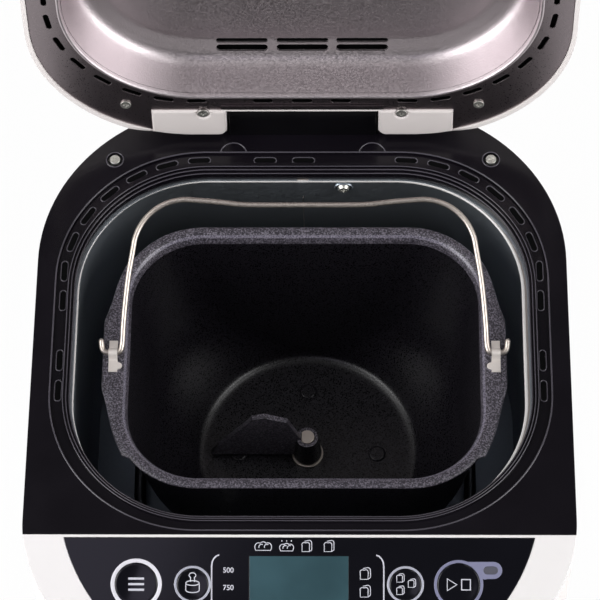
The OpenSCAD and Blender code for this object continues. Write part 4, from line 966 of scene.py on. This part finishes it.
def strokes(name, lines, width, height, body, finish, cap=None):
    """Printed lines: flattened round strokes on the panel or on a button's dished cap."""
    data = bpy.data.curves.new(name, "CURVE")
    data.dimensions = "3D"
    data.bevel_depth = width / 2
    data.bevel_resolution = 1
    data.use_fill_caps = True
    for line, closed in lines:
        add_line(data, [(x, -s, 0) for x, s in line], closed)
    bm = mesh_of(data)
    flat = Matrix.Translation((0, 0, height)) @ Matrix.Diagonal((1, 1, 0.18, 1))
    bmesh.ops.transform(bm, matrix=flat, verts=bm.verts)
    if cap:
        x, s, r = cap
        for vert in bm.verts:
            out = ((vert.co.x - x) ** 2 + (vert.co.y + s) ** 2) / (CAP_FLAT * r) ** 2
            vert.co.z += CAP_DISH * out
    finish_mesh(bm, PANEL_TURN)
    piece(name, bm, "silver_trim", body, 30, finish)


def button_sign(name, lines, width, node, finish):
    strokes(name, lines, width, 0.5, node, finish, BUTTONS[node])


def words(name, rows, size, height, body, finish):
    """Plain numbers; each row is the text, its middle x and its s."""
    bm = bmesh.new()
    for text, x, s in rows:
        data = bpy.data.curves.new(name, "FONT")
        data.body = text
        data.size = size
        data.align_x = "CENTER"
        data.align_y = "CENTER"
        data.extrude = 0.03
        data.offset = 0.05
        row = mesh_of(data)
        bmesh.ops.translate(row, vec=(x, -s, height), verts=row.verts)
        mesh = bpy.data.meshes.new(name)
        row.to_mesh(mesh)
        row.free()
        bm.from_mesh(mesh)
    finish_mesh(bm, PANEL_TURN)
    piece(name, bm, "silver_trim", body, 30, finish)


def arc(x, s, r, start, end, steps=10, flat=1.0):
    """Points on an arc of a sign, in degrees; `flat` squeezes it."""
    return [
        (x + r * math.cos(math.radians(start + (end - start) * k / steps)),
         s - flat * r * math.sin(math.radians(start + (end - start) * k / steps)))
        for k in range(steps + 1)
    ]


def slice_sign(x, s, size):
    """A slice of bread seen a little from the side: closed front outline and its back's lines."""
    w, h = 1.75 * size, 2.2 * size
    front = [(x - w, s + h), (x - w, s - h * 0.35)]
    front += arc(x - w * 0.45, s - h * 0.5, w * 0.62, 180, 60, 6)
    front += arc(x + w * 0.45, s - h * 0.5, w * 0.62, 120, 0, 6)
    front += [(x + w, s + h)]
    back = [(x + w, s + h), (x + w * 1.65, s + h * 0.62), (x + w * 1.65, s - h * 0.8)]
    back += arc(x + w * 1.0, s - h * 0.95, w * 0.62, 10, 100, 6)
    back += [(x - w * 0.3, s - h * 1.25)]
    return [(front, True), (back, False)]


def loaf_sign(x, s, w, h):
    """A loaf with three humps and two cuts."""
    body = [(x - w, s + h * 0.4)] + arc(x - w * 0.55, s, h, 170, 60, 6)
    body += arc(x, s - h * 0.25, h, 125, 55, 6) + arc(x + w * 0.55, s, h, 120, 10, 6)
    body += [(x + w, s + h * 0.4), (x + w * 0.9, s + h), (x - w * 0.9, s + h)]
    return [(body, True), (arc(x - w * 0.2, s + h * 0.1, h * 0.7, 200, 60, 6), False),
            (arc(x + w * 0.45, s + h * 0.1, h * 0.7, 200, 60, 6), False)]


def make_panel():
    """The caps, rings and signs of the control panel, all generic."""
    light = moulded("print_light", srgb(205, 205, 215), 0.45).material
    ring_white = moulded("ring_white", srgb(226, 224, 232), 0.28, vary=0.03).material
    ring_grey = moulded("ring_grey", srgb(176, 177, 190), 0.3, vary=0.03).material
    ring_violet = moulded("ring_violet", srgb(128, 129, 156), 0.32, vary=0.03).material
    menu = flat_ring("menu_ring", "menu_button", 10.9, 12.9, ring_white)
    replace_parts(menu, "button_rings")
    flat_ring("weight_ring", "weight_button", 8.1, 9.3, ring_grey)
    flat_ring("crust_ring", "crust_button", 8.1, 9.3, ring_grey)
    lobe_ring("start_ring", "start_button", 10.9, 12.4, ring_violet, (102.2, 18.2, 4.3))
    for node in BUTTONS:
        make_button(node)
    lines = loaf_sign(-18.0, 6.4, 4.2, 1.9) + loaf_sign(-6.2, 6.9, 3.4, 1.7)
    for x in (-8.6, -6.2, -3.8):
        lines += [([(x, 3.9), (x, 3.2)], False)]
    lines += slice_sign(3.4, 6.6, 1.05) + slice_sign(14.6, 6.6, 1.05)
    lines += slice_sign(32.8, 20.4, 1.1) + slice_sign(32.8, 29.3, 1.1)
    strokes("panel_signs", lines, 0.42, 0.21, "body", light)
    bracket = [(-40.2, 10.6), (-41.6, 11.2), (-42.9, 12.5), (-43.7, 14.2), (-44.0, 16.5),
               (-44.0, 24.0), (-44.0, 33.0), (-43.6, 36.0), (-42.4, 38.2), (-40.4, 39.6)]
    other = [(-x - 1.3, s) for x, s in bracket]
    strokes("panel_brackets", [(bracket, False), (other, False)], 0.7, 0.21, "body", light)
    words("panel_numbers", [("500", -35.6, 18.4), ("750", -35.6, 27.2), ("1000", -35.4, 36)],
          3.7, 0.23, "body", light)
    bars = [([(-86.0, s), (-78.0, s)], False) for s in (22.6, 25.4, 28.2)]
    button_sign("menu_sign", bars, 1.1, "menu_button", light)
    weight = [([(-57.0, 24.8), (-57.0, 28.4)] + arc(-53.6, 28.4, 3.4, 180, 360, 12, 0.35)
               + [(-50.2, 24.8)], False),
              (arc(-53.6, 24.8, 3.4, 0, 360, 24, 0.35), True),
              (arc(-53.6, 20.9, 1.7, -60, 240, 16, 0.75), False),
              ([(-54.6, 21.9), (-54.6, 24.2)], False), ([(-52.6, 21.9), (-52.6, 24.2)], False)]
    button_sign("weight_sign", weight, 0.5, "weight_button", light)
    crust = slice_sign(50.6, 22.4, 0.8) + slice_sign(50.6, 28.6, 0.8) + slice_sign(56.4, 25.0, 0.8)
    button_sign("crust_sign", crust, 0.42, "crust_button", light)
    start = [([(74.6, 22.4), (74.6, 28.4), (79.4, 25.4)], True),
             ([(81.8, 22.8), (86.2, 22.8), (86.2, 28.0), (81.8, 28.0)], True)]
    button_sign("start_sign", start, 0.75, "start_button", light)
    plus = [([(10.2, 47), (13.8, 47)], False), ([(12, 45.2), (12, 48.8)], False)]
    button_sign("up_sign", plus, 0.6, "time_up_button", light)
    minus = [([(-13.8, 47), (-10.2, 47)], False)]
    button_sign("down_sign", minus, 0.6, "time_down_button", light)


# ---------------------------------------------------------------- all the pieces

PADDLE_TOP = 110.0  # above it, the paddle's top takes the lighter copy of the coat: painted light on its lit top
HINGE_PLINTH, HINGE_SINK = 0.9, 1.2  # what stands this low on the deck goes down by this much
MADE_ANEW = {"bread_pan", "handle_clips", "bail_handle", "lid_liner", "button_rings", *BUTTONS}
make_pan()
make_bail()
make_clips()
make_deck_trim()
make_liner_lip()
make_arm_faces()
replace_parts(make_lid_liner(), "lid_liner")
make_lid_flange()
make_panel()
for node_name in NODES:
    if node_name not in MADE_ANEW:
        dressed(node_name)
close_body_corners()
round_off_crown()
# painted light: the paddle's top face takes the lighter copy of the coat
paddle = bpy.data.objects["kneading_paddle_shaped"].data
paddle.materials.append(FINISH["lit_coat"])
for face in paddle.polygons:
    if face.center.z > PADDLE_TOP * MM:
        face.material_index = 1
# painted shade: the hinge block takes the darker copy of the black
hinge = bpy.data.objects["hinge_block_shaped"].data
hinge.materials[0] = FINISH["hinge_shaded_black"]
for vert in hinge.vertices:
    if vert.co.z < (DECK + HINGE_PLINTH) * MM:
        vert.co.z -= HINGE_SINK * MM

# ---------------------------------------------------------------- stage, light, camera


def make_stage():
    bm = bmesh.new()
    bmesh.ops.create_grid(bm, x_segments=1, y_segments=1, size=6)
    mesh = bpy.data.meshes.new("floor")
    bm.to_mesh(mesh)
    bm.free()
    floor = bpy.data.objects.new("floor", mesh)
    bpy.context.scene.collection.objects.link(floor)
    finish = Finish("floor", (0.8, 0.8, 0.8), 0.9)
    glow = finish.node("ShaderNodeEmission", None, {"Color": (1, 1, 1, 1), "Strength": 1.0})
    rays = finish.node("ShaderNodeLightPath")
    seen = Val(finish, rays.outputs["Is Camera Ray"])
    for kind in ("Is Glossy Ray", "Is Transmission Ray"):
        seen = seen + Val(finish, rays.outputs[kind])
    mixed = finish.node(
        "ShaderNodeMixShader",
        None,
        {0: seen * 0.97, 1: finish.shader.outputs[0], 2: glow.outputs[0]},
    )
    finish.link(finish.tree.nodes["Material Output"].inputs[0], mixed.outputs[0])
    mesh.materials.append(finish.material)


def area(name, place, target, size, power, color=(1, 1, 1)):
    data = bpy.data.lights.new(name, "AREA")
    data.shape = "RECTANGLE"
    data.size, data.size_y = size
    data.energy = power
    data.color = color
    lamp = bpy.data.objects.new(name, data)
    lamp.location = place
    lamp.rotation_euler = (Vector(target) - Vector(place)).to_track_quat("-Z", "Y").to_euler()
    bpy.context.scene.collection.objects.link(lamp)


def make_light():
    world = bpy.data.worlds.new("studio")
    bpy.context.scene.world = world
    world.use_nodes = True
    back = world.node_tree.nodes["Background"]
    back.inputs[0].default_value = (1, 1, 1, 1)
    back.inputs[1].default_value = 0.08
    area("top_left", (-0.75, 0.15, 1.95), (0, 0.05, 0.2), (0.5, 0.5), 3.2)
    area("top_right", (0.75, 0.05, 1.95), (0, 0.05, 0.2), (0.5, 0.5), 2.8)
    area("left", (-1.4, -0.5, 0.9), (0, 0.05, 0.25), (1.0, 1.8), 32)
    area("right", (1.4, -0.5, 0.9), (0, 0.05, 0.25), (1.0, 1.8), 27)
    area("sheen", (-0.55, -1.2, 2.0), (-0.08, -0.15, 0.21), (0.75, 0.75), 1.3, (0.82, 0.76, 1.0))


def make_camera():
    data = bpy.data.cameras.new("camera")
    data.sensor_width = 36
    data.lens = 174
    data.clip_start, data.clip_end = 0.05, 20
    camera = bpy.data.objects.new("camera", data)
    tilt = Matrix.Rotation(math.radians(28.5), 4, "X")
    turn = tilt @ Matrix.Rotation(math.radians(1.086), 4, "Y")
    camera.matrix_world = Matrix.Translation((0.0282, -0.7151, 1.5646)) @ turn
    bpy.context.scene.collection.objects.link(camera)
    bpy.context.scene.camera = camera
    bpy.context.scene.view_settings.view_transform = "Standard"


make_stage()
make_light()
make_camera()
